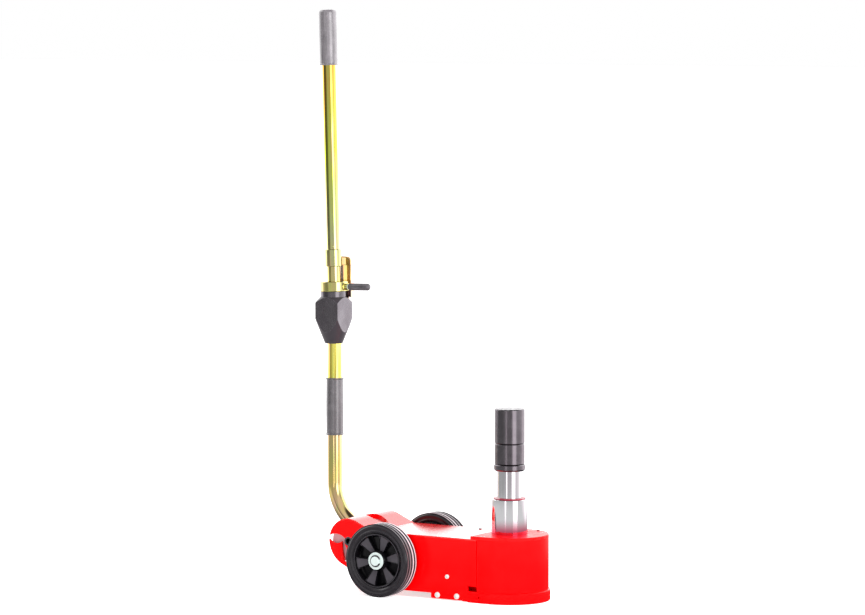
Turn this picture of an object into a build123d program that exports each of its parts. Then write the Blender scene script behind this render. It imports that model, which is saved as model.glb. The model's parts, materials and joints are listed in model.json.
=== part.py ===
from build123d import *
import os
from math import cos, radians, sin, sqrt, tan

# Air-hydraulic truck jack: a two-stage ram on a low foot, an air motor and pump in the
# chassis behind it, two wheels, and a tall control handle that tips back on a cross pivot.
# Millimetres. Origin on the floor under the ram axis, +X forward, +Z up.

# ---- driving dimensions ----
HALF_WIDTH = 85.0        # outer faces of the side plates, and the housing's radius
PLATE = 6.0              # side plate thickness
FIT = 0.06               # radial clearance of every running fit
SNUG = 0.05              # radial clearance of pieces fixed in one another

FOOT_R = 88.7            # foot under the cylinder
FOOT_H = 24.0
FOOT_BACK_X = -53.0
FOOT_TONGUE_X = -72.0

SEAM_X = -31.0           # where the round housing meets the side plates
TANK_WALL = 5.0
TANK_BACK_X = -70.0      # tail of the oil tank between the side plates
TANK_TAIL_Y = 62.0
TANK_LID_Z = 129.0
CHASSIS_TOP = 137.0
CAP_TOP = 143.6
CAP_BACK_X = -47.0

BORE_R = 42.0            # main cylinder
CYLINDER_R = 62.0
SHOULDER_R = 46.5        # the cylinder's neck, which passes the top cover
CYLINDER_FLOOR = 26.0
GLAND_LOW = 131.5        # ram gland in the top of the bore
WIPER_R = 43.0
WIPER_H = 4.0
STAGE1_R = 39.0          # outer ram
STAGE1_BOTTOM = 101.0
STAGE1_TOP = 219.0
STAGE1_BORE_R = 31.0
STAGE_LIP_R = 35.0       # lip of the gland between the rams
STAGE_LIP = 2.0
STAGE2_R = 27.0          # inner ram
STAGE2_BOTTOM = 163.0
STAGE2_TOP = 280.0
SADDLE_R = 34.0
SADDLE_TOP = 294.0
EXTENSION_R = 32.5
EXTENSION_HEIGHTS = (45.0, 75.0)
SPIGOT_R = 12.4
SOCKET_R = 12.5
SPIGOT_H = 11.0
SOCKET_H = 12.0

COVER = 3.0              # top cover sheet
TAB_Z = 2.5              # lowest edge of the side plates' front tab
TAB_FRONT_X = -54.0
TAB_BACK_X = -146.5
BELLY_Z = 13.5           # lower edge of the side plates
BELLY_BACK_X = -280.0

PIVOT_X = -360.0         # handle pivot, and centre of the round tail
PIVOT_Z = 110.0
TAIL_R = 50.0
HOOD = 2.8               # hood sheet
HOOD_FRONT = 66.0        # the hood leaves the tail's round at this angle, degrees from +X
HOOD_REAR = 112.0        # and ends behind at this one
SLOT_BACK_X = -372.0     # leaf-shaped slot in the hood, and the depth of its pressed lip
SLOT_FRONT_X = -310.0
SLOT_HALF = 19.0
LIP_DEPTH = 11.0
LIP_WALL = 2.2
STAY_X = -305.0          # cross stay between the side plates
STAY_Z = 62.0
STAY_R = 9.0
PIVOT_R = 10.0

AXLE_X = -257.0
AXLE_Z = 80.0
AXLE_R = 10.0
AXLE_HALF = 139.5
WHEEL_R = 80.0
WHEEL_IN = 92.5          # inner and outer faces of each wheel, from the middle plane
WHEEL_OUT = 132.5
RIM_R = 60.0
SPOKES = 6

MOTOR_Z = 84.0           # air motor and plunger axis
MOTOR_R = 46.0
MOTOR_BORE_R = 42.0
MOTOR_SQUARE = 96.0
MOTOR_BACK_X = -242.0
BLOCK_FRONT_X = -74.0
BLOCK_BACK_X = -146.0
PLUNGER_R = 8.0
BLOCK_LOW = 36.0
PORT_Z = 52.0            # oil port from the pump block to the cylinder
PIPE_R = 5.0
PORT_R = 3.0
RELEASE_Y = 60.0         # release valve
RELEASE_Z = 51.0
RELEASE_R = 6.0

TUBE_R = 15.5            # lower handle tube
TUBE_WALL = 3.0
HANDLE_X = -450.5        # axis of the handle's upright part
BEND_R = 105.0
TUBE_ANGLE = 147.0       # direction in which the tube leaves the pivot, degrees from +X
VALVE_BOTTOM = 535.0
VALVE_TOP = 638.0
VALVE_SIDE = 59.0
VALVE_X = HANDLE_X - 2.4  # the valve sits a little behind the tube's axis
NECK_R = 28.5
LEAN = 1.5               # the handle above the valve leans back by this, degrees
UPPER_R = 15.0
COLLAR_LOW = 12.3        # heights above VALVE_TOP, along the leaning axis
COLLAR_HIGH = 34.0
COLLAR_R = 31.2
LEVER_W = 22.0
SLEEVE_LOW = 67.0
SLEEVE_HIGH = 105.0
GRIP_LOW = 510.0
GRIP_HIGH = 632.0

os.makedirs("parts", exist_ok=True)

# planes that the pieces share
lean_plane = Plane(
    origin=(HANDLE_X - 0.7, 0, VALVE_TOP),
    x_dir=(cos(radians(LEAN)), 0, sin(radians(LEAN))),
    z_dir=(-sin(radians(LEAN)), 0, cos(radians(LEAN))),
)
lean_profile = Plane(origin=lean_plane.origin, x_dir=lean_plane.x_dir, z_dir=-lean_plane.y_dir)
lean_axis = Axis(lean_plane.origin, lean_plane.z_dir)


def on_tail(radius, angle):
    """A point at this radius and angle about the handle pivot, in the XZ plane."""
    return (PIVOT_X + radius * cos(radians(angle)), PIVOT_Z + radius * sin(radians(angle)))


def ring(outer, inner, low, high, plane=Plane.XY):
    """A tube about the plane's normal, from low to high along it."""
    with BuildPart(mode=Mode.PRIVATE) as tube:
        with BuildSketch(plane.offset(low)):
            Circle(outer)
            Circle(inner, mode=Mode.SUBTRACT)
        extrude(amount=high - low)
    return tube


def cross_ring(outer, inner, low, high, x, z):
    """A tube along Y at (x, z), from low to high in -Y."""
    return ring(outer, inner, low, high, Plane(origin=(x, 0, z), x_dir=(1, 0, 0), z_dir=(0, -1, 0)))


# ---- foot, tank and cylinder ----
def d_shape(radius, back_x):
    """Round in front, straight-sided behind, cut off square at back_x."""
    Circle(radius)
    with Locations((back_x / 2, 0)):
        Rectangle(-back_x, 2 * radius)
    with Locations((back_x - radius, 0)):
        Rectangle(2 * radius, 3 * radius, mode=Mode.SUBTRACT)


with BuildPart() as base_foot:
    with BuildSketch():
        d_shape(FOOT_R, FOOT_BACK_X)
    extrude(amount=FOOT_H)
    with BuildSketch():
        with Locations((FOOT_TONGUE_X / 2, 0)):
            Rectangle(-FOOT_TONGUE_X, 2 * (HALF_WIDTH - PLATE - 1))
    extrude(amount=FOOT_H)
    foot_top = base_foot.faces().sort_by(Axis.Z)[-1]
    fillet(foot_top.edges().filter_by(GeomType.CIRCLE), 1.5)
    chamfer(base_foot.faces().sort_by(Axis.Z)[0].edges().filter_by(GeomType.CIRCLE), 2)
    with Locations((0, 0, FOOT_H)):
        Hole(CYLINDER_R + SNUG, 4)
    with Locations(Plane(origin=(-24, -FOOT_R, 12), z_dir=(0, -1, 0))):
        Hole(2.5, 14)
base_foot.part.label = "base_foot"
export_step(base_foot.part, "parts/base_foot.step")


def tank_plan(inset):
    """The tank's round part joined to its narrower tail, drawn in by inset."""
    d_shape(HALF_WIDTH - inset, SEAM_X + inset)
    with Locations((TANK_BACK_X / 2 + inset / 2, 0)):
        Rectangle(-TANK_BACK_X - inset, 2 * (TANK_TAIL_Y - inset))


SCREW_SPOTS = ((54.0, 54.0), (54.0, -54.0), (-24.0, 72.0), (-24.0, -72.0))
SCREW_R = 3.0
PLUG_SPOTS = ((31.0, 69.0, CAP_TOP), (-115.5, 68.5, CHASSIS_TOP))
PLUG_R = 3.3
PLUG_H = 2.0
PLUG_SHANK_R = 2.2

with BuildPart() as tank_shell:
    with BuildSketch(Plane.XY.offset(FOOT_H)):
        tank_plan(0)
    extrude(amount=CHASSIS_TOP - FOOT_H)
    with BuildSketch(Plane.XY.offset(FOOT_H)):
        tank_plan(TANK_WALL)
    extrude(amount=TANK_LID_Z - FOOT_H, mode=Mode.SUBTRACT)
    with BuildSketch(Plane.XY.offset(CHASSIS_TOP - COVER - 0.5)):
        with Locations((SEAM_X - 50, 0)):
            Rectangle(100, 3 * HALF_WIDTH)
    extrude(amount=20, mode=Mode.SUBTRACT)
    with BuildSketch(Plane.XY.offset(TANK_LID_Z)):
        Circle(CYLINDER_R + SNUG)
    extrude(amount=20, mode=Mode.SUBTRACT)
    with Locations(*[(x, y, CHASSIS_TOP) for x, y in SCREW_SPOTS]):
        Hole(SCREW_R + SNUG, 14)
    with Locations(Plane(origin=(TANK_BACK_X, 0, PORT_Z), z_dir=(-1, 0, 0))):
        Hole(PIPE_R + SNUG, 20)
tank_shell.part.label = "tank_shell"
export_step(tank_shell.part, "parts/tank_shell.step")

with BuildPart() as top_cap:
    with BuildSketch(Plane.XY.offset(CHASSIS_TOP)):
        d_shape(HALF_WIDTH, CAP_BACK_X)
    extrude(amount=CAP_TOP - CHASSIS_TOP)
    fillet(top_cap.faces().sort_by(Axis.Z)[-1].edges(), 1.2)
    with Locations((0, 0, CAP_TOP)):
        Hole(STAGE1_R + 0.3, 10)
    with BuildSketch(Plane.XY.offset(CHASSIS_TOP)):
        Circle(WIPER_R + SNUG)
    extrude(amount=WIPER_H + 0.1, mode=Mode.SUBTRACT)
    with Locations(*[(x, y, CAP_TOP) for x, y in SCREW_SPOTS]):
        CounterSinkHole(SCREW_R + SNUG, 5.8)
    with Locations(PLUG_SPOTS[0]):
        Hole(PLUG_SHANK_R + SNUG, 10)
top_cap.part.label = "top_cap"
export_step(top_cap.part, "parts/top_cap.step")

SCREW_TOP = CAP_TOP - 0.1
SCREW_HEAD_R = 5.6

# four countersunk screws hold the cap; two raised plugs stand on the cap and the top cover
with BuildPart() as top_screws:
    for x, y in SCREW_SPOTS:
        with BuildSketch(Plane(origin=(x, y, 0), x_dir=(1, 0, 0), z_dir=(0, -1, 0))):
            neck_z = SCREW_TOP - SCREW_HEAD_R + SCREW_R
            Polygon(
                (0, CHASSIS_TOP - 12), (SCREW_R, CHASSIS_TOP - 12), (SCREW_R, neck_z),
                (SCREW_HEAD_R, SCREW_TOP), (0, SCREW_TOP), align=None,
            )
        revolve(axis=Axis((x, y, 0), (0, 0, 1)))
        with BuildSketch(Plane((x, y, SCREW_TOP))):
            RegularPolygon(2.3, 6)
        extrude(amount=-2.5, mode=Mode.SUBTRACT)
    for spot in PLUG_SPOTS:
        with BuildSketch(Plane(spot)):
            Circle(PLUG_R)
        extrude(amount=PLUG_H)
        with BuildSketch(Plane(spot)):
            Circle(PLUG_SHANK_R)
        extrude(amount=-COVER)
top_screws.part.label = "top_screws"
export_step(top_screws.part, "parts/top_screws.step")

with BuildPart() as main_cylinder:
    with BuildSketch(Plane.XY.offset(FOOT_H - 4)):
        Circle(CYLINDER_R)
    extrude(amount=CHASSIS_TOP - COVER - 0.5 - FOOT_H + 4)
    with BuildSketch(Plane.XY.offset(FOOT_H)):
        Circle(SHOULDER_R)
    extrude(amount=CHASSIS_TOP - FOOT_H)
    with BuildSketch(Plane.XY.offset(CYLINDER_FLOOR)):
        Circle(BORE_R + FIT)
    extrude(amount=CHASSIS_TOP, mode=Mode.SUBTRACT)
    with Locations(Plane(origin=(-CYLINDER_R, 0, PORT_Z), z_dir=(-1, 0, 0))):
        Hole(PIPE_R + SNUG, 6)
        Hole(PORT_R, 25)
main_cylinder.part.label = "main_cylinder"
export_step(main_cylinder.part, "parts/main_cylinder.step")

ram_gland = ring(BORE_R, STAGE1_R + FIT, GLAND_LOW, CHASSIS_TOP)
ram_gland.part.label = "ram_gland"
export_step(ram_gland.part, "parts/ram_gland.step")

ram_wiper = ring(WIPER_R, STAGE1_R + FIT, CHASSIS_TOP, CHASSIS_TOP + WIPER_H)
ram_wiper.part.label = "ram_wiper"
export_step(ram_wiper.part, "parts/ram_wiper.step")

# ---- rams, saddle and extension pieces ----
with BuildPart() as outer_ram:
    with BuildSketch(Plane.XY.offset(STAGE1_BOTTOM)):
        Circle(BORE_R)
    extrude(amount=16)
    with BuildSketch(Plane.XY.offset(STAGE1_BOTTOM)):
        Circle(STAGE1_R)
    extrude(amount=STAGE1_TOP - STAGE1_BOTTOM)
    chamfer(outer_ram.edges().group_by(Axis.Z)[-1], 1)
    with BuildSketch(Plane.XY.offset(STAGE1_BOTTOM)):
        Circle(STAGE1_BORE_R + FIT)
    extrude(amount=STAGE1_TOP - STAGE1_BOTTOM, mode=Mode.SUBTRACT)
    with BuildSketch(Plane.XY.offset(STAGE1_BOTTOM + 5)):
        Circle(BORE_R + 1)
        Circle(STAGE1_R, mode=Mode.SUBTRACT)
    extrude(amount=6, mode=Mode.SUBTRACT)
    chamfer(outer_ram.edges().group_by(Axis.Z)[-1].sort_by(SortBy.LENGTH)[0], 2.5)
outer_ram.part.label = "outer_ram"
export_step(outer_ram.part, "parts/outer_ram.step")

outer_ram_seal = ring(BORE_R, STAGE1_R + SNUG, STAGE1_BOTTOM + 5.1, STAGE1_BOTTOM + 10.9)
outer_ram_seal.part.label = "outer_ram_seal"
export_step(outer_ram_seal.part, "parts/outer_ram_seal.step")

# the gland's lip stands above the outer ram's rim and wipes the inner ram
with BuildPart() as stage_gland:
    with BuildSketch(Plane.XY.offset(STAGE1_TOP - 16)):
        Circle(STAGE1_BORE_R)
        Circle(STAGE2_R + FIT, mode=Mode.SUBTRACT)
    extrude(amount=16)
    with BuildSketch(Plane.XY.offset(STAGE1_TOP)):
        Circle(STAGE_LIP_R)
        Circle(STAGE2_R + FIT, mode=Mode.SUBTRACT)
    extrude(amount=STAGE_LIP)
stage_gland.part.label = "stage_gland"
export_step(stage_gland.part, "parts/stage_gland.step")

with BuildPart() as inner_ram:
    with BuildSketch(Plane.XY.offset(STAGE2_BOTTOM)):
        Circle(STAGE1_BORE_R)
    extrude(amount=14)
    with BuildSketch(Plane.XY.offset(STAGE2_BOTTOM)):
        Circle(STAGE2_R)
    extrude(amount=STAGE2_TOP - STAGE2_BOTTOM)
    with BuildSketch(Plane.XY.offset(STAGE2_BOTTOM + 5)):
        Circle(STAGE1_BORE_R + 1)
        Circle(STAGE2_R + 1, mode=Mode.SUBTRACT)
    extrude(amount=4, mode=Mode.SUBTRACT)
    with Locations((0, 0, STAGE2_TOP)):
        Hole(SOCKET_R, 20)
inner_ram.part.label = "inner_ram"
export_step(inner_ram.part, "parts/inner_ram.step")

inner_ram_seal = ring(
    STAGE1_BORE_R, STAGE2_R + 1 + SNUG, STAGE2_BOTTOM + 5.1, STAGE2_BOTTOM + 8.9
)
inner_ram_seal.part.label = "inner_ram_seal"
export_step(inner_ram_seal.part, "parts/inner_ram_seal.step")

with BuildPart() as saddle:
    with BuildSketch(Plane.XY.offset(STAGE2_TOP)):
        Circle(SADDLE_R)
    extrude(amount=SADDLE_TOP - STAGE2_TOP)
    chamfer(saddle.edges().group_by(Axis.Z)[0], 3)
    chamfer(saddle.edges().group_by(Axis.Z)[-1], 1.6)
    with BuildSketch(Plane.XY.offset(STAGE2_TOP)):
        Circle(SPIGOT_R)
    extrude(amount=-19)
    with Locations((0, 0, SADDLE_TOP)):
        Hole(SOCKET_R, SOCKET_H)
saddle.part.label = "saddle"
export_step(saddle.part, "parts/saddle.step")


def extension(low, height, grooved):
    """A distance piece with a spigot below, and a socket or a grooved face above."""
    with BuildPart(mode=Mode.PRIVATE) as piece:
        with BuildSketch(Plane.XY.offset(low)):
            Circle(EXTENSION_R)
        extrude(amount=height)
        chamfer(piece.edges(), 1.6)
        with BuildSketch(Plane.XY.offset(low)):
            Circle(SPIGOT_R)
        extrude(amount=-SPIGOT_H)
        if grooved:
            with BuildSketch(Plane.XY.offset(low + height)):
                with GridLocations(9, 0, 6, 1):
                    Rectangle(1.6, 3 * EXTENSION_R)
                with GridLocations(0, 9, 1, 6):
                    Rectangle(3 * EXTENSION_R, 1.6)
            extrude(amount=-1.2, mode=Mode.SUBTRACT)
        else:
            with Locations((0, 0, low + height)):
                Hole(SOCKET_R, SOCKET_H)
    return piece


extension_45 = extension(SADDLE_TOP, EXTENSION_HEIGHTS[0], grooved=False)
extension_45.part.label = "extension_45"
export_step(extension_45.part, "parts/extension_45.step")

extension_75 = extension(SADDLE_TOP + EXTENSION_HEIGHTS[0], EXTENSION_HEIGHTS[1], grooved=True)
extension_75.part.label = "extension_75"
export_step(extension_75.part, "parts/extension_75.step")

# ---- chassis ----
FOOT_BOLTS = ((-130.0, 10.2), (-81.0, 10.7))
BLOCK_BOLT = (-105.4, 51.7)


def slope_foot(radius, level):
    """Where the hood's slope, leaving the tail's round at this radius, comes down to a level."""
    top_x, top_z = on_tail(radius, HOOD_FRONT)
    return (top_x + (top_z - level) * tan(radians(HOOD_FRONT)), level)


def side_outline():
    """The outline of a side plate in the XZ plane, without its openings."""
    hood_in = TAIL_R - HOOD
    with BuildLine() as outline:
        slope_top = on_tail(hood_in, HOOD_FRONT)
        slope_end = slope_foot(hood_in, CHASSIS_TOP - COVER)
        Line((SEAM_X - 1.5, CHASSIS_TOP - COVER), slope_end)
        Line(slope_end, slope_top)
        crown = on_tail(hood_in, (HOOD_FRONT + HOOD_REAR) / 2)
        ThreePointArc(slope_top, crown, on_tail(hood_in, HOOD_REAR))
        Line(on_tail(hood_in, HOOD_REAR), on_tail(TAIL_R, HOOD_REAR))
        ThreePointArc(on_tail(TAIL_R, HOOD_REAR), on_tail(TAIL_R, 145), on_tail(TAIL_R, 176))
        heel = (PIVOT_X - 18, PIVOT_Z - 50.4)
        ThreePointArc(on_tail(TAIL_R, 176), (PIVOT_X - 37.2, PIVOT_Z - 34.5), heel)
        Line(heel, (BELLY_BACK_X, BELLY_Z))
        Line((BELLY_BACK_X, BELLY_Z), (TAB_BACK_X, BELLY_Z))
        Line((TAB_BACK_X, BELLY_Z), (TAB_BACK_X, TAB_Z))
        Line((TAB_BACK_X, TAB_Z), (TAB_FRONT_X, TAB_Z))
        Line((TAB_FRONT_X, TAB_Z), (TAB_FRONT_X, FOOT_H + 11))
        Line((TAB_FRONT_X, FOOT_H + 11), (SEAM_X - 1.5, FOOT_H + 11))
        Line((SEAM_X - 1.5, FOOT_H + 11), (SEAM_X - 1.5, CHASSIS_TOP - COVER))
    return outline.edges()


def tail_opening():
    """The leaf-shaped notch from the rear edge to the pivot's hole, and the window below it."""
    with BuildLine() as outline:
        ThreePointArc(
            (PIVOT_X - 52, PIVOT_Z + 8.6), (PIVOT_X - 31, PIVOT_Z + 14.8), (PIVOT_X - 9, PIVOT_Z + 6)
        )
        Line((PIVOT_X - 9, PIVOT_Z + 6), (PIVOT_X - 7, PIVOT_Z))
        Line((PIVOT_X - 7, PIVOT_Z), (PIVOT_X - 8.5, PIVOT_Z - 8))
        Line((PIVOT_X - 8.5, PIVOT_Z - 8), (PIVOT_X - 5, PIVOT_Z - 14.5))
        Line((PIVOT_X - 5, PIVOT_Z - 14.5), (PIVOT_X + 5, PIVOT_Z - 47))
        Line((PIVOT_X + 5, PIVOT_Z - 47), (PIVOT_X - 11, PIVOT_Z - 45))
        ThreePointArc(
            (PIVOT_X - 11, PIVOT_Z - 45), (PIVOT_X - 16, PIVOT_Z - 24), (PIVOT_X - 17.5, PIVOT_Z - 1.5)
        )
        ThreePointArc(
            (PIVOT_X - 17.5, PIVOT_Z - 1.5), (PIVOT_X - 31, PIVOT_Z - 6.5), (PIVOT_X - 52, PIVOT_Z + 5.4)
        )
        Line((PIVOT_X - 52, PIVOT_Z + 5.4), (PIVOT_X - 52, PIVOT_Z + 8.6))
    return outline.edges()


with BuildPart() as right_side_plate:
    with BuildSketch(Plane.XZ.offset(HALF_WIDTH - PLATE)):
        make_face(side_outline())
        make_face(tail_opening(), mode=Mode.SUBTRACT)
        with Locations((AXLE_X, AXLE_Z)):
            Circle(AXLE_R + SNUG, mode=Mode.SUBTRACT)
        with Locations((PIVOT_X, PIVOT_Z)):
            Circle(PIVOT_R + SNUG, mode=Mode.SUBTRACT)
        with Locations(*FOOT_BOLTS):
            Circle(4 + SNUG, mode=Mode.SUBTRACT)
        with Locations(BLOCK_BOLT):
            Circle(3 + SNUG, mode=Mode.SUBTRACT)
    extrude(amount=PLATE)
    tab_corner = right_side_plate.edges().filter_by(Axis.Y).group_by(Axis.Z)[0].sort_by(Axis.X)[0]
    fillet(tab_corner, 3)
right_side_plate.part.label = "right_side_plate"
export_step(right_side_plate.part, "parts/right_side_plate.step")

with BuildPart() as left_side_plate:
    add(right_side_plate.part.mirror(Plane.XZ))
left_side_plate.part.label = "left_side_plate"
export_step(left_side_plate.part, "parts/left_side_plate.step")

HOOD_END_X = slope_foot(TAIL_R - HOOD, CHASSIS_TOP - COVER)[0]

with BuildPart() as top_cover:
    with BuildSketch(Plane.XY.offset(CHASSIS_TOP - COVER)):
        with Locations(((HOOD_END_X + SEAM_X - 1.5) / 2, 0)):
            Rectangle(SEAM_X - 1.5 - HOOD_END_X, 2 * HALF_WIDTH)
    extrude(amount=COVER)
    fillet(top_cover.edges().group_by(Axis.Z)[-1].filter_by(Axis.X), 1.5)
    with Locations((0, 0, CHASSIS_TOP)):
        Hole(SHOULDER_R + 0.3, COVER)
    with Locations(PLUG_SPOTS[1]):
        Hole(PLUG_SHANK_R + SNUG, COVER)
top_cover.part.label = "top_cover"
export_step(top_cover.part, "parts/top_cover.step")


def hood_section(depth, end_z):
    """The hood's section in the XZ plane, this deep below its outer face."""
    within = TAIL_R - depth
    middle = (HOOD_FRONT + HOOD_REAR) / 2
    with BuildLine() as outline:
        outer_top = on_tail(TAIL_R, HOOD_FRONT)
        inner_top = on_tail(within, HOOD_FRONT)
        ThreePointArc(on_tail(TAIL_R, HOOD_REAR), on_tail(TAIL_R, middle), outer_top)
        Polyline(outer_top, (HOOD_END_X, CHASSIS_TOP), (HOOD_END_X, end_z), inner_top)
        ThreePointArc(inner_top, on_tail(within, middle), on_tail(within, HOOD_REAR))
        Line(on_tail(within, HOOD_REAR), on_tail(TAIL_R, HOOD_REAR))
    return outline.edges()


def leaf(margin):
    """The slot's leaf shape seen from above, grown by a margin."""
    middle_x = (SLOT_BACK_X + SLOT_FRONT_X) / 2
    back = (SLOT_BACK_X - margin, 0)
    front = (SLOT_FRONT_X + margin, 0)
    with BuildLine() as outline:
        ThreePointArc(back, (middle_x, SLOT_HALF + margin), front)
        ThreePointArc(front, (middle_x, -SLOT_HALF - margin), back)
    return outline.edges()


def slot_lip():
    """The block that the slot is cut through, which leaves the pressed lip."""
    with BuildPart(mode=Mode.PRIVATE) as block:
        with BuildSketch(Plane.XZ.offset(-HALF_WIDTH)):
            make_face(hood_section(LIP_DEPTH, CHASSIS_TOP - LIP_DEPTH))
        extrude(amount=2 * HALF_WIDTH)
        with BuildSketch(Plane.XY.offset(PIVOT_Z)):
            make_face(leaf(LIP_WALL))
        extrude(amount=100, mode=Mode.INTERSECT)
    return block.part


with BuildPart() as rear_hood:
    with BuildSketch(Plane.XZ.offset(-HALF_WIDTH)):
        make_face(hood_section(HOOD, CHASSIS_TOP - COVER))
    extrude(amount=2 * HALF_WIDTH)
    # leaf-shaped slot along the middle of the hood, with a lip pressed down round it
    add(slot_lip())
    with BuildSketch(Plane.XY.offset(PIVOT_Z)):
        make_face(leaf(0))
    extrude(amount=100, mode=Mode.SUBTRACT)
rear_hood.part.label = "rear_hood"
export_step(rear_hood.part, "parts/rear_hood.step")

with BuildPart() as bottom_bar:
    with BuildSketch(Plane.XY.offset(4)):
        with Locations((-105.5, 0)):
            Rectangle(60, 2 * (HALF_WIDTH - PLATE) - 0.2)
    extrude(amount=14)
    for side in (1, -1):
        with Locations(*[
            Plane(origin=(x, side * (HALF_WIDTH - PLATE - 0.1), z), z_dir=(0, side, 0))
            for x, z in FOOT_BOLTS
        ]):
            Hole(4 + SNUG, 18)
bottom_bar.part.label = "bottom_bar"
export_step(bottom_bar.part, "parts/bottom_bar.step")


def button_bolt(x, z, side, shank_r, head_r, head_h, length):
    """A round-headed bolt with a hex socket, through the side plate on this side."""
    seat = Plane(origin=(x, side * HALF_WIDTH, z), x_dir=(1, 0, 0), z_dir=(0, side, 0))
    with BuildPart(mode=Mode.PRIVATE) as bolt:
        with BuildSketch(seat):
            Circle(head_r)
        extrude(amount=head_h)
        fillet(bolt.edges().sort_by(Axis((0, 0, 0), (0, side, 0)))[-1], head_h * 0.8)
        with BuildSketch(seat):
            Circle(shank_r)
        extrude(amount=-length)
        with BuildSketch(seat.offset(head_h)):
            RegularPolygon(head_r * 0.42, 6)
        extrude(amount=-head_h * 0.6, mode=Mode.SUBTRACT)
    return bolt.part


side_bolt_list = []
for side in (1, -1):
    for x, z in FOOT_BOLTS:
        side_bolt_list.append(button_bolt(x, z, side, 4, 6.2, 4.5, 22))
    side_bolt_list.append(button_bolt(*BLOCK_BOLT, side, 3, 4.8, 3.5, 20))
with BuildPart() as side_bolts:
    add(side_bolt_list)
side_bolts.part.label = "side_bolts"
export_step(side_bolts.part, "parts/side_bolts.step")

with BuildPart() as cross_stay:
    with BuildSketch(Plane.XZ.offset(-(HALF_WIDTH - PLATE - 0.1))):
        with Locations((STAY_X, STAY_Z)):
            Circle(STAY_R)
    extrude(amount=2 * (HALF_WIDTH - PLATE - 0.1))
cross_stay.part.label = "cross_stay"
export_step(cross_stay.part, "parts/cross_stay.step")

pivot_tube = cross_ring(PIVOT_R, 6.5, -HALF_WIDTH, HALF_WIDTH, PIVOT_X, PIVOT_Z)
pivot_tube.part.label = "pivot_tube"
export_step(pivot_tube.part, "parts/pivot_tube.step")

# ---- pump and air motor ----
with BuildPart() as pump_block:
    with BuildSketch(Plane.XY.offset(BLOCK_LOW)):
        with Locations(((BLOCK_FRONT_X + BLOCK_BACK_X) / 2, 0)):
            Rectangle(BLOCK_FRONT_X - BLOCK_BACK_X, 2 * (HALF_WIDTH - PLATE) - 0.2)
    extrude(amount=30)
    with BuildSketch(Plane.XY.offset(BLOCK_LOW)):
        with Locations(((BLOCK_FRONT_X + BLOCK_BACK_X) / 2, 0)):
            Rectangle(BLOCK_FRONT_X - BLOCK_BACK_X, MOTOR_SQUARE)
    extrude(amount=MOTOR_SQUARE)
    with Locations(Plane(origin=(BLOCK_BACK_X, 0, MOTOR_Z), z_dir=(-1, 0, 0))):
        Hole(PLUNGER_R + FIT, 62)
    with Locations(Plane(origin=(BLOCK_FRONT_X, 0, PORT_Z), z_dir=(1, 0, 0))):
        Hole(PIPE_R + SNUG, 8)
        Hole(PORT_R, 20)
    with Locations((BLOCK_FRONT_X - 20, 0, BLOCK_LOW + MOTOR_SQUARE)):
        Hole(PORT_R, BLOCK_LOW + MOTOR_SQUARE - PORT_Z + 2)
    with Locations(Plane(origin=(BLOCK_BACK_X, RELEASE_Y, RELEASE_Z), z_dir=(-1, 0, 0))):
        Hole(RELEASE_R + SNUG, 30)
    for side in (1, -1):
        end = (BLOCK_BOLT[0], side * (HALF_WIDTH - PLATE - 0.1), BLOCK_BOLT[1])
        with Locations(Plane(origin=end, z_dir=(0, side, 0))):
            Hole(3 + SNUG, 16)
pump_block.part.label = "pump_block"
export_step(pump_block.part, "parts/pump_block.step")

with BuildPart() as delivery_pipe:
    with BuildSketch(Plane.YZ.offset(BLOCK_FRONT_X - 7)):
        with Locations((0, PORT_Z)):
            Circle(PIPE_R)
            Circle(PORT_R - 0.5, mode=Mode.SUBTRACT)
    extrude(amount=-BLOCK_FRONT_X - CYLINDER_R + 12)
delivery_pipe.part.label = "delivery_pipe"
export_step(delivery_pipe.part, "parts/delivery_pipe.step")

with BuildPart() as release_valve:
    with BuildSketch(Plane.YZ.offset(BLOCK_BACK_X)):
        with Locations((RELEASE_Y, RELEASE_Z)):
            RegularPolygon(9, 6)
    extrude(amount=-9)
    with BuildSketch(Plane.YZ.offset(BLOCK_BACK_X)):
        with Locations((RELEASE_Y, RELEASE_Z)):
            Circle(RELEASE_R)
    extrude(amount=28)
release_valve.part.label = "release_valve"
export_step(release_valve.part, "parts/release_valve.step")

MOTOR_ROD = 42.0


def motor_plate(low_x, high_x, bore):
    """A square end plate of the air motor with its four tie rod holes."""
    with BuildPart(mode=Mode.PRIVATE) as plate:
        with BuildSketch(Plane.YZ.offset(low_x)):
            with Locations((0, MOTOR_Z)):
                Rectangle(MOTOR_SQUARE, MOTOR_SQUARE)
                Circle(bore, mode=Mode.SUBTRACT)
                with GridLocations(2 * MOTOR_ROD, 2 * MOTOR_ROD, 2, 2):
                    Circle(3 + SNUG, mode=Mode.SUBTRACT)
        extrude(amount=high_x - low_x)
    return plate


motor_flange = motor_plate(BLOCK_BACK_X - 5, BLOCK_BACK_X, PLUNGER_R + 0.5)
motor_flange.part.label = "motor_flange"
export_step(motor_flange.part, "parts/motor_flange.step")

motor_head = motor_plate(MOTOR_BACK_X, MOTOR_BACK_X + 6, 4)
motor_head.part.label = "motor_head"
export_step(motor_head.part, "parts/motor_head.step")

with BuildPart() as motor_cylinder:
    with BuildSketch(Plane.YZ.offset(MOTOR_BACK_X + 6)):
        with Locations((0, MOTOR_Z)):
            Circle(MOTOR_R)
            Circle(MOTOR_BORE_R + FIT, mode=Mode.SUBTRACT)
    extrude(amount=BLOCK_BACK_X - 5 - MOTOR_BACK_X - 6)
motor_cylinder.part.label = "motor_cylinder"
export_step(motor_cylinder.part, "parts/motor_cylinder.step")

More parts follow.
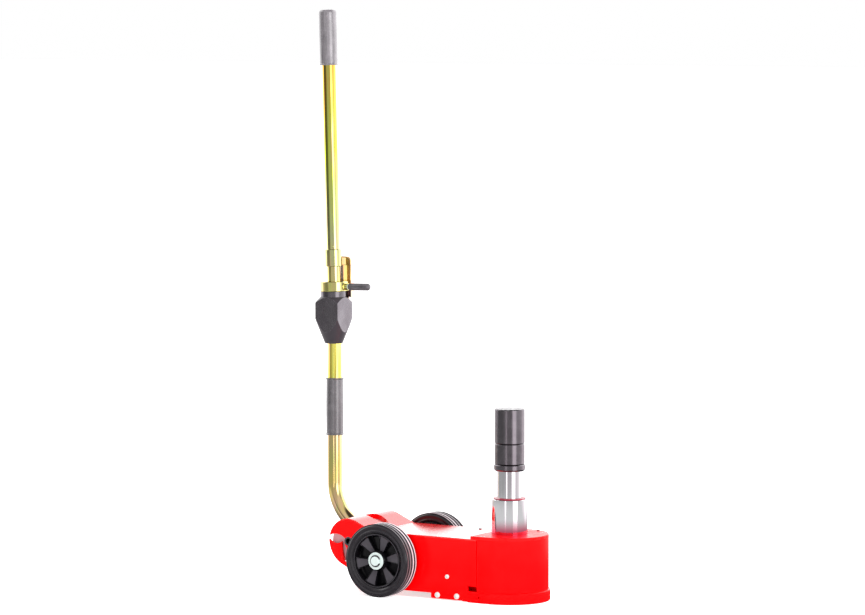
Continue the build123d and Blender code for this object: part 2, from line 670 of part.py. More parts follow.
with BuildPart() as tie_rods:
    with BuildSketch(Plane.YZ.offset(MOTOR_BACK_X)):
        with Locations((0, MOTOR_Z)):
            with GridLocations(2 * MOTOR_ROD, 2 * MOTOR_ROD, 2, 2):
                Circle(3)
    extrude(amount=BLOCK_BACK_X - MOTOR_BACK_X)
    with BuildSketch(Plane.YZ.offset(MOTOR_BACK_X)):
        with Locations((0, MOTOR_Z)):
            with GridLocations(2 * MOTOR_ROD, 2 * MOTOR_ROD, 2, 2):
                RegularPolygon(5.5, 6)
    extrude(amount=-3.5)
tie_rods.part.label = "tie_rods"
export_step(tie_rods.part, "parts/tie_rods.step")

PISTON_BACK_X = MOTOR_BACK_X + 10

with BuildPart() as air_piston:
    with BuildSketch(Plane.YZ.offset(PISTON_BACK_X)):
        with Locations((0, MOTOR_Z)):
            Circle(MOTOR_BORE_R)
    extrude(amount=12)
    with BuildSketch(Plane.YZ.offset(PISTON_BACK_X + 4)):
        with Locations((0, MOTOR_Z)):
            Circle(MOTOR_BORE_R + 1)
            Circle(MOTOR_BORE_R - 3, mode=Mode.SUBTRACT)
    extrude(amount=4, mode=Mode.SUBTRACT)
air_piston.part.label = "air_piston"
export_step(air_piston.part, "parts/air_piston.step")

with BuildPart() as air_piston_seal:
    with BuildSketch(Plane.YZ.offset(PISTON_BACK_X + 4.1)):
        with Locations((0, MOTOR_Z)):
            Circle(MOTOR_BORE_R)
            Circle(MOTOR_BORE_R - 3 + SNUG, mode=Mode.SUBTRACT)
    extrude(amount=3.8)
air_piston_seal.part.label = "air_piston_seal"
export_step(air_piston_seal.part, "parts/air_piston_seal.step")

with BuildPart() as pump_plunger:
    with BuildSketch(Plane.YZ.offset(PISTON_BACK_X + 12)):
        with Locations((0, MOTOR_Z)):
            Circle(PLUNGER_R)
    extrude(amount=90)
pump_plunger.part.label = "pump_plunger"
export_step(pump_plunger.part, "parts/pump_plunger.step")

# ---- axle and wheels ----
CLIP_Y = WHEEL_OUT + 2.6
CLIP_T = 1.2

with BuildPart() as axle:
    with BuildSketch(Plane.XZ.offset(-AXLE_HALF)):
        with Locations((AXLE_X, AXLE_Z)):
            Circle(AXLE_R)
    extrude(amount=2 * AXLE_HALF)
    chamfer(axle.edges(), 1)
    for low in (CLIP_Y, -CLIP_Y - CLIP_T):
        with BuildSketch(Plane.XZ.offset(low)):
            with Locations((AXLE_X, AXLE_Z)):
                Circle(AXLE_R + 1)
                Circle(AXLE_R - 1.5, mode=Mode.SUBTRACT)
        extrude(amount=CLIP_T, mode=Mode.SUBTRACT)
axle.part.label = "axle"
export_step(axle.part, "parts/axle.step")


def both_sides(piece):
    """A piece on the right side and its mirror image on the left."""
    with BuildPart(mode=Mode.PRIVATE) as pair:
        add([piece, piece.mirror(Plane.XZ)])
    return pair


spacer = cross_ring(15, AXLE_R + SNUG, HALF_WIDTH, WHEEL_IN - 0.3, AXLE_X, AXLE_Z)
axle_spacers = both_sides(spacer.part)
axle_spacers.part.label = "axle_spacers"
export_step(axle_spacers.part, "parts/axle_spacers.step")

washer = cross_ring(18.8, AXLE_R + SNUG, WHEEL_OUT + 0.3, WHEEL_OUT + 2.4, AXLE_X, AXLE_Z)
with washer:
    chamfer(washer.edges().group_by(Axis.Y)[0].sort_by(SortBy.LENGTH)[-1], 0.5)
axle_washers = both_sides(washer.part)
axle_washers.part.label = "axle_washers"
export_step(axle_washers.part, "parts/axle_washers.step")

clip_plane = Plane(origin=(AXLE_X, -CLIP_Y - 0.1, AXLE_Z), x_dir=(1, 0, 0), z_dir=(0, -1, 0))
with BuildPart() as clip:
    with BuildSketch(clip_plane):
        Circle(13)
        Circle(AXLE_R - 1.5 + SNUG, mode=Mode.SUBTRACT)
        with Locations((12, 0)):
            Rectangle(16, 9, mode=Mode.SUBTRACT)
    extrude(amount=CLIP_T - 0.2)
axle_clips = both_sides(clip.part)
axle_clips.part.label = "axle_clips"
export_step(axle_clips.part, "parts/axle_clips.step")

WHEEL_MID = (WHEEL_IN + WHEEL_OUT) / 2
HALF_TYRE = (WHEEL_OUT - WHEEL_IN) / 2
wheel_axis = Axis((AXLE_X, 0, AXLE_Z), (0, 1, 0))
# x runs outwards along the axle from the wheel's middle, y is the radius
wheel_profile = Plane(origin=(AXLE_X, -WHEEL_MID, AXLE_Z), x_dir=(0, -1, 0), z_dir=(1, 0, 0))

with BuildPart() as right_tyre:
    with BuildSketch(wheel_profile):
        with BuildLine():
            Polyline(
                (-17, RIM_R + SNUG), (17, RIM_R + SNUG), (18.2, 63), (HALF_TYRE, 70), (HALF_TYRE, WHEEL_R),
                (-HALF_TYRE, WHEEL_R), (-HALF_TYRE, 70), (-18.2, 63), close=True,
            )
        make_face()
    revolve(axis=wheel_axis)
    crown = right_tyre.edges().filter_by(GeomType.CIRCLE).group_by(lambda e: e.radius)[-1]
    fillet(crown, 5)
    with BuildSketch(wheel_profile):
        with Locations((-11, WHEEL_R), (0, WHEEL_R), (11, WHEEL_R)):
            Rectangle(1.8, 4.4)
    revolve(axis=wheel_axis, mode=Mode.SUBTRACT)
right_tyre.part.label = "right_tyre"
export_step(right_tyre.part, "parts/right_tyre.step")

HUB_R = 22.0
BUSH_R = 13.0
SPOKE_HALF = 14.0        # half angle of a spoke, degrees
SPOKE_TURN = 10.0

with BuildPart() as right_rim:
    with BuildSketch(wheel_profile):
        with BuildLine():
            Polyline(
                (-18.5, 54), (18.5, 54), (18.5, 58.5), (17, RIM_R), (-17, RIM_R), (-18.5, 58.5),
                close=True,
            )
        make_face()
        with Locations((0, 38)):
            Rectangle(5, 34)
        with Locations((0, (HUB_R + BUSH_R + SNUG) / 2)):
            Rectangle(2 * HALF_TYRE, HUB_R - BUSH_R - SNUG)
    revolve(axis=wheel_axis)
    with BuildSketch(Plane(origin=(AXLE_X, -WHEEL_MID - 11, AXLE_Z), x_dir=(1, 0, 0), z_dir=(0, -1, 0))):
        with PolarLocations(0, SPOKES, start_angle=SPOKE_TURN):
            root = (HUB_R - 1) * sin(radians(SPOKE_HALF))
            tip = 55 * sin(radians(SPOKE_HALF))
            Polygon((HUB_R - 1, -root), (55, -tip), (55, tip), (HUB_R - 1, root), align=None)
    extrude(amount=-22)
right_rim.part.label = "right_rim"
export_step(right_rim.part, "parts/right_rim.step")

right_bush = cross_ring(BUSH_R, AXLE_R + FIT, WHEEL_IN, WHEEL_OUT, AXLE_X, AXLE_Z)
right_bush.part.label = "right_bush"
export_step(right_bush.part, "parts/right_bush.step")

for wheel_piece in (right_tyre, right_rim, right_bush):
    left_name = wheel_piece.part.label.replace("right", "left")
    with BuildPart() as left_piece:
        add(wheel_piece.part.mirror(Plane.XZ))
    left_piece.part.label = left_name
    export_step(left_piece.part, f"parts/{left_name}.step")

# ---- handle: pivot and lower tube ----
YOKE_IN = 71.5
YOKE_OUT = 76.0
YOKE_R = 46.0
BARREL_R = 20.0

pivot_barrel = cross_ring(BARREL_R, PIVOT_R + FIT, -YOKE_IN, YOKE_IN, PIVOT_X, PIVOT_Z)
pivot_barrel.part.label = "pivot_barrel"
export_step(pivot_barrel.part, "parts/pivot_barrel.step")

yoke_disc = cross_ring(YOKE_R, PIVOT_R + 0.4, YOKE_IN, YOKE_OUT, PIVOT_X, PIVOT_Z)
yoke_discs = both_sides(yoke_disc.part)
yoke_discs.part.label = "yoke_discs"
export_step(yoke_discs.part, "parts/yoke_discs.step")


def tube_path(start_r, top_z, y=0):
    """The lower tube's centre line: out of the pivot, round the bend and straight up."""
    corner_r = (PIVOT_X - HANDLE_X) / -cos(radians(TUBE_ANGLE))
    corner_z = PIVOT_Z + corner_r * sin(radians(TUBE_ANGLE))
    start = on_tail(start_r, TUBE_ANGLE)
    with BuildLine(Plane.XZ.offset(-y)) as path:
        FilletPolyline(start, (HANDLE_X, corner_z), (HANDLE_X, top_z), radius=BEND_R)
    return path


tube_line = tube_path(16, 548)
tube_start = Plane(tube_line.line @ 0, z_dir=tube_line.line % 0)

with BuildPart() as lower_tube:
    with BuildSketch(tube_start):
        Circle(TUBE_R)
        Circle(TUBE_R - TUBE_WALL, mode=Mode.SUBTRACT)
    sweep(path=tube_line.line)
    with BuildSketch(Plane.XZ.offset(-40)):
        with Locations((PIVOT_X, PIVOT_Z)):
            Circle(BARREL_R + SNUG)
    extrude(amount=80, mode=Mode.SUBTRACT)
lower_tube.part.label = "lower_tube"
export_step(lower_tube.part, "parts/lower_tube.step")


def hose(y):
    """One of the two air lines that run up inside the lower tube."""
    line = tube_path(24, 547, y)
    with BuildPart(mode=Mode.PRIVATE) as tube:
        with BuildSketch(Plane(line.line @ 0, z_dir=line.line % 0)):
            Circle(4)
            Circle(2.5, mode=Mode.SUBTRACT)
        sweep(path=line.line)
    return tube.part


with BuildPart() as air_lines:
    add([hose(5.5), hose(-5.5)])
air_lines.part.label = "air_lines"
export_step(air_lines.part, "parts/air_lines.step")

with BuildPart() as lower_grip:
    with BuildSketch(Plane(origin=(HANDLE_X, 0, 0), x_dir=(1, 0, 0), z_dir=(0, -1, 0))):
        with BuildLine():
            Polyline(
                (TUBE_R + SNUG, 332), (19.6, 332), (19.6, 335), (18.9, 336.5), (18.9, 454), (19.6, 455.5),
                (19.6, 458.5), (TUBE_R + SNUG, 458.5), close=True,
            )
        make_face()
    revolve(axis=Axis((HANDLE_X, 0, 0), (0, 0, 1)))
lower_grip.part.label = "lower_grip"
export_step(lower_grip.part, "parts/lower_grip.step")

# ---- handle: control valve ----
VALVE_CORNER_R = VALVE_SIDE / sqrt(2)
GUARD_Y = 32.0
GUARD_T = 2.5
GUARD_SCREWS = ((-452.0, 598.0), (-440.0, 614.0))
INLET_Y = 8.0
INLET_Z = 597.0

with BuildPart() as valve_housing:
    with BuildSketch(Plane(origin=(VALVE_X, 0, VALVE_BOTTOM), x_dir=(1, 0, 0), z_dir=(0, 0, 1))):
        Rectangle(VALVE_SIDE, VALVE_SIDE)
    extrude(amount=VALVE_TOP - VALVE_BOTTOM)
    # turned cones take off the corners above and below
    with BuildSketch(Plane(origin=(VALVE_X, 0, 0), x_dir=(1, 0, 0), z_dir=(0, -1, 0))):
        with BuildLine():
            Polyline(
                (0, VALVE_BOTTOM), (19.4, VALVE_BOTTOM), (VALVE_CORNER_R, VALVE_BOTTOM + 55),
                (VALVE_CORNER_R, VALVE_TOP - 13), (NECK_R, VALVE_TOP), (0, VALVE_TOP), close=True,
            )
        make_face()
    revolve(axis=Axis((VALVE_X, 0, 0), (0, 0, 1)), mode=Mode.INTERSECT)
    # bosses that carry the guard plate
    with BuildSketch(Plane.XZ.offset(-VALVE_SIDE / 2 + 2)):
        with Locations(*GUARD_SCREWS):
            Circle(6)
    extrude(amount=-(GUARD_Y - VALVE_SIDE / 2 + 2))
    with Locations(*[Plane(origin=(x, GUARD_Y, z), z_dir=(0, 1, 0)) for x, z in GUARD_SCREWS]):
        Hole(2.5 + SNUG, 12)
    # socket for the tube, and the valve's chamber above it
    with Locations(Plane(origin=(HANDLE_X, 0, VALVE_BOTTOM), z_dir=(0, 0, -1))):
        Hole(TUBE_R + SNUG, 14)
    with Locations((HANDLE_X, 0, VALVE_TOP)):
        Hole(18, VALVE_TOP - VALVE_BOTTOM - 14)
    with Locations(Plane(origin=(VALVE_X - VALVE_SIDE / 2, INLET_Y, INLET_Z), z_dir=(-1, 0, 0))):
        Hole(6.5 + SNUG, 8)
valve_housing.part.label = "valve_housing"
export_step(valve_housing.part, "parts/valve_housing.step")

with BuildPart() as valve_neck:
    with BuildSketch(lean_plane.offset(-4)):
        with Locations((VALVE_X - HANDLE_X, 0)):
            Circle(NECK_R)
        Circle(UPPER_R + SNUG, mode=Mode.SUBTRACT)
    extrude(amount=COLLAR_LOW - 0.3 + 4)
    split(bisect_by=Plane.XY.offset(VALVE_TOP), keep=Keep.TOP)
valve_neck.part.label = "valve_neck"
export_step(valve_neck.part, "parts/valve_neck.step")

WINDOW_HALF = 44.0       # half angle of the upper tube's window for the lever

with BuildPart() as upper_tube:
    with BuildSketch(lean_plane.offset(-52)):
        Circle(UPPER_R)
        Circle(UPPER_R - TUBE_WALL, mode=Mode.SUBTRACT)
    extrude(amount=GRIP_HIGH - 4 + 52)
    with BuildSketch(lean_plane.offset(LEVER_W - 6)):
        reach = 30.0
        edge = reach * tan(radians(WINDOW_HALF))
        Polygon((0, 0), (reach, -edge), (reach, edge), align=None)
    extrude(amount=12, mode=Mode.SUBTRACT)
upper_tube.part.label = "upper_tube"
export_step(upper_tube.part, "parts/upper_tube.step")

coupling_sleeve = ring(18.75, UPPER_R + SNUG, SLEEVE_LOW, SLEEVE_HIGH, lean_plane)
with coupling_sleeve:
    chamfer(coupling_sleeve.edges().filter_by(GeomType.CIRCLE).group_by(lambda e: e.radius)[-1], 1)
coupling_sleeve.part.label = "coupling_sleeve"
export_step(coupling_sleeve.part, "parts/coupling_sleeve.step")

with BuildPart() as top_grip:
    with BuildSketch(lean_profile):
        with BuildLine():
            Polyline(
                (UPPER_R + SNUG, GRIP_LOW), (20, GRIP_LOW), (20, GRIP_LOW + 3), (19.4, GRIP_LOW + 4.5),
                (19.4, GRIP_HIGH - 6), (17, GRIP_HIGH), (0, GRIP_HIGH), (0, GRIP_HIGH - 3.8),
                (UPPER_R + SNUG, GRIP_HIGH - 3.8), close=True,
            )
        make_face()
    revolve(axis=lean_axis)
top_grip.part.label = "top_grip"
export_step(top_grip.part, "parts/top_grip.step")

with BuildPart() as air_nipple:
    inlet = Plane(origin=(VALVE_X - VALVE_SIDE / 2, INLET_Y, INLET_Z), z_dir=(-1, 0, 0))
    with BuildSketch(inlet):
        Circle(6.5)
    extrude(amount=-7)
    with BuildSketch(inlet):
        RegularPolygon(8.5, 6)
    extrude(amount=5)
    with BuildSketch(inlet.offset(5)):
        Circle(5.9)
    extrude(amount=15)
    with BuildSketch(inlet.offset(11)):
        Circle(8)
        Circle(4.6, mode=Mode.SUBTRACT)
    extrude(amount=4, mode=Mode.SUBTRACT)
    with Locations(inlet.offset(20)):
        Hole(3, 27)
air_nipple.part.label = "air_nipple"
export_step(air_nipple.part, "parts/air_nipple.step")

# ---- guard plate beside the valve's lever ----
GUARD_LEFT_X = -455.5
GUARD_RIGHT_X = -422.6
GUARD_LEG_X = -434.0     # the leg beside the valve is narrower
GUARD_LOW_Z = 588.0
GUARD_TOP_Z = 726.0
FLANGE = 8.0


def guard_outline(inset):
    """The guard's outline with one rounded top corner, drawn in by inset."""
    right = GUARD_RIGHT_X - inset
    top = GUARD_TOP_Z - inset
    left = GUARD_LEFT_X - 10
    corner = 11 - inset
    with BuildLine() as outline:
        Line((left, GUARD_LOW_Z), (right, GUARD_LOW_Z))
        Line((right, GUARD_LOW_Z), (right, top - corner))
        TangentArc((right, top - corner), (right - corner, top), tangent=(0, 1))
        Line((right - corner, top), (left, top))
        Line((left, top), (left, GUARD_LOW_Z))
    return outline.edges()


with BuildPart() as guard_plate:
    with BuildSketch(Plane.XZ.offset(-GUARD_Y)):
        make_face(guard_outline(0))
    extrude(amount=-GUARD_T)
    with BuildSketch(Plane.XZ.offset(-GUARD_Y)):
        make_face(guard_outline(0))
        make_face(guard_outline(GUARD_T), mode=Mode.SUBTRACT)
    extrude(amount=FLANGE)
    # the upper part stops at the tube, and the flange stops above the valve
    with BuildSketch(Plane.XZ.offset(-GUARD_Y - GUARD_T)):
        with Locations((GUARD_LEFT_X - 20, VALVE_TOP + 50)):
            Rectangle(40, 2 * 50)
    extrude(amount=60, mode=Mode.SUBTRACT)
    leg_height = VALVE_TOP - 2 - GUARD_LOW_Z
    with BuildSketch(Plane.XZ.offset(-GUARD_Y - GUARD_T)):
        with Locations((GUARD_LEG_X + 20, GUARD_LOW_Z)):
            Rectangle(40, 2 * leg_height)
    extrude(amount=FLANGE + 10, mode=Mode.SUBTRACT)
    with Locations(*[Plane(origin=(x, GUARD_Y + GUARD_T, z), z_dir=(0, 1, 0)) for x, z in GUARD_SCREWS]):
        Hole(2.5 + SNUG, 5)
guard_plate.part.label = "guard_plate"
export_step(guard_plate.part, "parts/guard_plate.step")

with BuildPart() as guard_screws:
    for x, z in GUARD_SCREWS:
        seat = Plane(origin=(x, GUARD_Y + GUARD_T, z), x_dir=(1, 0, 0), z_dir=(0, 1, 0))
        with BuildSketch(seat):
            Circle(4.6)
        extrude(amount=2.8)
        with BuildSketch(seat):
            Circle(2.5)
        extrude(amount=-12)
        with BuildSketch(seat.offset(2.8)):
            RegularPolygon(1.8, 6)
        extrude(amount=-1.6, mode=Mode.SUBTRACT)
guard_screws.part.label = "guard_screws"
export_step(guard_screws.part, "parts/guard_screws.step")

# ---- control collar and lever ----
LEVER_R = 4.0
HUB_END = 37.5
LEVER_GRIP_START = 40.0
LEVER_GRIP_END = 93.5
LEVER_GRIP_R = 7.8
STEM_R = 8.0
# x runs up the leaning axis here, and the plane's normal points along the lever
lever_plane = Plane(
    origin=lean_plane.origin + lean_plane.z_dir * LEVER_W, x_dir=lean_plane.y_dir, z_dir=lean_plane.x_dir
)

with BuildPart() as control_collar:
    with BuildSketch(lean_plane.offset(COLLAR_LOW)):
        Circle(COLLAR_R)
    extrude(amount=COLLAR_HIGH - COLLAR_LOW)
    chamfer(control_collar.edges(), 1)
    with BuildSketch(lever_plane.offset(20)):
        Circle(7.5)
    extrude(amount=HUB_END - 20)
    with BuildSketch(lean_plane.offset(COLLAR_LOW)):
        Circle(UPPER_R + FIT)
    extrude(amount=COLLAR_HIGH - COLLAR_LOW, mode=Mode.SUBTRACT)
    with BuildSketch(lever_plane):
        Circle(LEVER_R + SNUG)
    extrude(amount=HUB_END + 1, mode=Mode.SUBTRACT)
control_collar.part.label = "control_collar"
export_step(control_collar.part, "parts/control_collar.step")

with BuildPart() as lever_rod:
    with BuildSketch(lever_plane.offset(-STEM_R)):
        Circle(LEVER_R)
    extrude(amount=LEVER_GRIP_END - 9 + STEM_R)
    with BuildSketch(lever_plane.offset(HUB_END)):
        RegularPolygon(6.6, 6)
    extrude(amount=LEVER_GRIP_START - HUB_END - 0.1)
lever_rod.part.label = "lever_rod"
export_step(lever_rod.part, "parts/lever_rod.step")

with BuildPart() as lever_grip:
    with BuildSketch(lever_plane.offset(LEVER_GRIP_START)):
        Circle(LEVER_GRIP_R)
    extrude(amount=LEVER_GRIP_END - LEVER_GRIP_START)
    fillet(lever_grip.edges().sort_by(Axis.X)[-1], 6)
    fillet(lever_grip.edges().sort_by(Axis.X)[0], 1.5)
    with BuildSketch(lever_plane.offset(LEVER_GRIP_START)):
        Circle(LEVER_R + SNUG)
    extrude(amount=LEVER_GRIP_END - LEVER_GRIP_START - 8.9, mode=Mode.SUBTRACT)
lever_grip.part.label = "lever_grip"
export_step(lever_grip.part, "parts/lever_grip.step")

with BuildPart() as valve_spool:
    with BuildSketch(lean_plane.offset(-82)):
        Circle(14)
    extrude(amount=26)
    with BuildSketch(lean_plane.offset(-56)):
        Circle(STEM_R)
    extrude(amount=56 + LEVER_W + 8)
    with BuildSketch(lean_plane.offset(-71)):
        Circle(15)
        Circle(11, mode=Mode.SUBTRACT)
    extrude(amount=5, mode=Mode.SUBTRACT)
    with BuildSketch(lever_plane.offset(-STEM_R - 1)):
        Circle(LEVER_R + SNUG)
    extrude(amount=2 * STEM_R + 2, mode=Mode.SUBTRACT)
valve_spool.part.label = "valve_spool"
export_step(valve_spool.part, "parts/valve_spool.step")
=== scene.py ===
"""Looks of an air-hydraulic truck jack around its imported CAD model: materials, wheels, grips,
small hardware, studio and camera. Metres, +Z up, +X forward, origin under the ram."""
import json
from math import cos, pi, radians, sin, tan

import bmesh
import bpy
from mathutils import Matrix, Vector


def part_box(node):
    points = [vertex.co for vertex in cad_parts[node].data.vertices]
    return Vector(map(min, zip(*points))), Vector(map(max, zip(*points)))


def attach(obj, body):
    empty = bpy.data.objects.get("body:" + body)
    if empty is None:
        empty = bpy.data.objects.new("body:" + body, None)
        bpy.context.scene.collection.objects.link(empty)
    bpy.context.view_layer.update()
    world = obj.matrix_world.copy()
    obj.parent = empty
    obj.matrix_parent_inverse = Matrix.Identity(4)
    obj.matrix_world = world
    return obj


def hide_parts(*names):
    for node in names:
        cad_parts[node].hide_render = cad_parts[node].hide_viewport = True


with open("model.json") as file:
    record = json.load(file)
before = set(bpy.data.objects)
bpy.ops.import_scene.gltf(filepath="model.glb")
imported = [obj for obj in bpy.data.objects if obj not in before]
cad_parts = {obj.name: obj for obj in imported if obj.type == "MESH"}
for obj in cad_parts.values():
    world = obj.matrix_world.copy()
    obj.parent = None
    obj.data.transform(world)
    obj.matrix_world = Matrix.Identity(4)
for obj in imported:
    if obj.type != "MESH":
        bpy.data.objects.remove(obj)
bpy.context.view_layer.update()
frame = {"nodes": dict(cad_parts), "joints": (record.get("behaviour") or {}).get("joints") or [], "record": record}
MM = 0.001


# ---- camera ----
CAMERA_AZIMUTH = radians(32)
CAMERA_ELEVATION = radians(4.41)
CAMERA_DISTANCE = 8.64
AIM_RIGHT = -0.16605         # the point aimed at, along the view's right and up
AIM_UP = 0.63026
LENS = 166.47                # mm
SENSOR_WIDTH = 36            # mm


def make_camera():
    """A long lens at standing eye height, looking at the jack's right front corner."""
    azimuth, elevation = CAMERA_AZIMUTH, CAMERA_ELEVATION
    right = Vector((cos(azimuth), sin(azimuth), 0))
    back = Vector((sin(azimuth) * cos(elevation), -cos(azimuth) * cos(elevation), sin(elevation)))
    up = back.cross(right)
    data = bpy.data.cameras.new("camera")
    data.lens = LENS
    data.sensor_width = SENSOR_WIDTH
    data.clip_start, data.clip_end = 0.1, 200
    camera = bpy.data.objects.new("camera", data)
    camera.matrix_world = Matrix((right, up, back)).transposed().to_4x4()
    camera.location = AIM_RIGHT * right + AIM_UP * up + CAMERA_DISTANCE * back
    bpy.context.scene.collection.objects.link(camera)
    bpy.context.scene.camera = camera


# ---- node kit ----
class Graph:
    """Short calls that add shader nodes to a tree."""

    def __init__(self, tree):
        self.tree = tree

    def feed(self, socket, value):
        if isinstance(value, bpy.types.NodeSocket):
            self.tree.links.new(value, socket)
        else:
            socket.default_value = value

    def add(self, kind, inputs=(), **settings):
        node = self.tree.nodes.new("ShaderNode" + kind)
        for key, value in settings.items():
            setattr(node, key, value)
        for key, value in dict(inputs).items():
            self.feed(node.inputs[key], value)
        return node

    def math(self, operation, a, b=0.0, c=0.0):
        return self.add("Math", {0: a, 1: b, 2: c}, operation=operation).outputs[0]

    def levels(self, value, low, high, new_low=0.0, new_high=1.0):
        """Maps low to high onto the new range, smoothly and clamped."""
        inputs = {"Value": value, "From Min": low, "From Max": high, "To Min": new_low, "To Max": new_high}
        return self.add("MapRange", inputs, interpolation_type="SMOOTHSTEP").outputs[0]

    def mix(self, factor, a, b, blend_type="MIX"):
        """A colour mix; a and b are colours or sockets."""
        node = self.add("Mix", data_type="RGBA", blend_type=blend_type)
        for socket, value in zip((node.inputs[0], node.inputs[6], node.inputs[7]), (factor, a, b)):
            self.feed(socket, value)
        return node.outputs[2]

    def ramp(self, value, stops):
        """A colour ramp through (position, colour) stops."""
        node = self.add("ValToRGB", {"Fac": value})
        elements = node.color_ramp.elements
        while len(elements) < len(stops):
            elements.new(0.5)
        for element, (position, colour) in zip(elements, stops):
            element.position = position
            element.color = colour
        return node.outputs["Color"]


def grey(value, tint=(1.0, 1.0, 1.0)):
    return (*(value * t for t in tint), 1.0)


class Look(Graph):
    """A Principled material."""

    def __init__(self, name, **sockets):
        self.slot = name
        self.material = bpy.data.materials.new(name)
        self.material.use_nodes = True
        super().__init__(self.material.node_tree)
        self.shader = self.tree.nodes["Principled BSDF"]
        self.place = self.add("TexCoord").outputs["Object"]
        for socket, value in sockets.items():
            self.set(socket.replace("_", " "), value)

    def set(self, socket, value):
        """Sets one of the shader's sockets, to a constant or to what a node gives."""
        self.feed(self.shader.inputs[socket], value)

    def noise(self, size, detail=3.0, stretch=(1, 1, 1), roughness=0.5, shift=0.0):
        """Noise whose features are about size metres, longer along the axes with a stretch."""
        scale = tuple(1 / (size * s) for s in stretch)
        mapping = self.add("Mapping", {"Vector": self.place, "Scale": scale, "Location": (shift,) * 3})
        inputs = {"Vector": mapping.outputs[0], "Scale": 1.0, "Detail": detail, "Roughness": roughness}
        return self.add("TexNoise", inputs).outputs["Fac"]

    def along(self, axis):
        """The place along one of the frame's axes at rest, in metres."""
        return self.add("SeparateXYZ", {0: self.place}).outputs[axis]

    def facing(self, axis):
        """How squarely the surface faces along an axis, either way: 0 to 1."""
        sides = self.add("SeparateXYZ", {0: self.add("TexCoord").outputs["Normal"]})
        return self.math("ABSOLUTE", sides.outputs[axis])

    def rounded(self, radius):
        """The normal of a surface whose edges are rounded by this radius."""
        return self.add("Bevel", {"Radius": radius}, samples=6).outputs[0]

    def edges(self, radius):
        """1 on convex edges and 0 on flat faces, from how a bevel would turn the normal."""
        normal = self.add("NewGeometry").outputs["Normal"]
        dot = self.add("VectorMath", {0: self.rounded(radius), 1: normal}, operation="DOT_PRODUCT")
        return self.levels(dot.outputs["Value"], 0.995, 0.90)

    def bump(self, height, distance, strength=1.0, radius=0.0):
        inputs = {"Height": height, "Distance": distance, "Strength": strength}
        if radius:
            inputs["Normal"] = self.rounded(radius)
        self.set("Normal", self.add("Bump", inputs).outputs[0])


# ---- materials, one for each of the record's slots ----
def red_paint(name="red_paint", low_rough=0.09, high_rough=0.14, ior=1.22, sheen=0.0):
    """Glossy red enamel with faint orange peel, dust, and thin wear on its edges."""
    look = Look(name, IOR=ior, Sheen_Weight=sheen, Sheen_Roughness=0.12)
    tone = look.noise(0.09, detail=2)
    body = look.mix(look.levels(tone, 0.3, 0.7), (0.86, 0.0004, 0.0012, 1), (0.97, 0.0008, 0.0018, 1))
    dust = look.levels(look.noise(0.004, detail=4), 0.72, 0.80, 0.0, 0.20)
    dusty = look.mix(dust, body, (0.95, 0.06, 0.055, 1))
    chips = look.levels(look.noise(0.006, detail=5, roughness=0.7), 0.60, 0.66)
    worn = look.math("MULTIPLY", look.edges(0.0010), chips)
    look.set("Base Color", look.mix(worn, dusty, (0.36, 0.012, 0.012, 1)))
    look.set("Roughness", look.levels(look.noise(0.03, detail=4), 0.3, 0.7, low_rough, high_rough))
    look.set("Coat Weight", sheen)
    look.set("Coat Roughness", 0.22)
    look.bump(look.noise(0.0035, detail=2), 0.00003, 0.3, radius=0.0007)
    return look


ZINC_CLIMB = 0.8             # how much of the hue ramp one metre of height covers


def yellow_zinc(name="yellow_zinc", tint=(1.0, 1.0, 1.0)):
    """Yellow-chromate zinc: gold that drifts to olive, green and pink in long soft streaks."""
    look = Look(name, Metallic=1.0)
    look.set("Specular Tint", (1.0, 0.92, 0.86, 1))
    drift = look.noise(0.02, detail=3, stretch=(0.8, 0.8, 9))
    climb = look.math("MULTIPLY_ADD", look.along("Z"), ZINC_CLIMB)
    place = look.math("ADD", look.levels(drift, 0.25, 0.75, -0.05, 0.05), climb)
    hues = look.ramp(place, [
        (0.10, (0.96, 0.62, 0.42, 1)),
        (0.20, (0.90, 0.74, 0.22, 1)),
        (0.27, (0.93, 0.70, 0.36, 1)),
        (0.38, (0.98, 0.84, 0.14, 1)),
        (0.45, (0.95, 0.86, 0.20, 1)),
        (0.54, (0.90, 0.80, 0.32, 1)),
        (0.62, (0.70, 0.74, 0.36, 1)),
        (0.70, (0.72, 0.80, 0.26, 1)),
        (0.77, (0.78, 0.88, 0.10, 1)),
        (0.84, (0.95, 0.66, 0.12, 1)),
        (0.90, (0.98, 0.55, 0.10, 1)),
    ])
    film = look.noise(0.011, detail=4, stretch=(1, 1, 14), shift=3.1)
    greened = look.mix(look.levels(film, 0.52, 0.70, 0.0, 0.6), hues, (0.56, 0.76, 0.20, 1))
    pinked = look.mix(look.levels(film, 0.46, 0.32, 0.0, 0.5), greened, (0.98, 0.55, 0.40, 1))
    specks = look.levels(look.noise(0.003, detail=5, roughness=0.75), 0.66, 0.72, 0.0, 0.8)
    tinted = look.mix(1.0, pinked, grey(1.0, tint), "MULTIPLY")
    look.set("Base Color", look.mix(specks, tinted, (1.0, 0.98, 0.80, 1)))
    look.set("Roughness", look.levels(look.noise(0.008, detail=5, stretch=(1, 1, 6)), 0.3, 0.75, 0.05, 0.13))
    look.bump(look.noise(0.0016, detail=3, stretch=(1, 1, 20)), 0.00001, 0.4, radius=0.0006)
    return look


def white_zinc():
    """Bright zinc with a fine blue-white haze."""
    look = Look("white_zinc", Metallic=0.35)
    haze = look.noise(0.004, detail=4)
    look.set("Base Color", look.mix(haze, (0.62, 0.73, 0.71, 1), (0.78, 0.86, 0.83, 1)))
    look.set("Roughness", look.levels(haze, 0.3, 0.7, 0.28, 0.42))
    look.bump(look.noise(0.0012, detail=4), 0.00004, 0.5, radius=0.0004)
    return look


CAP_REFLECTION_TOP = 180 * MM          # painted reflection: red tint on the outer ram above the cap at rest, standing in for the red cap it mirrors
CAP_REFLECTION_FOOT = 146 * MM


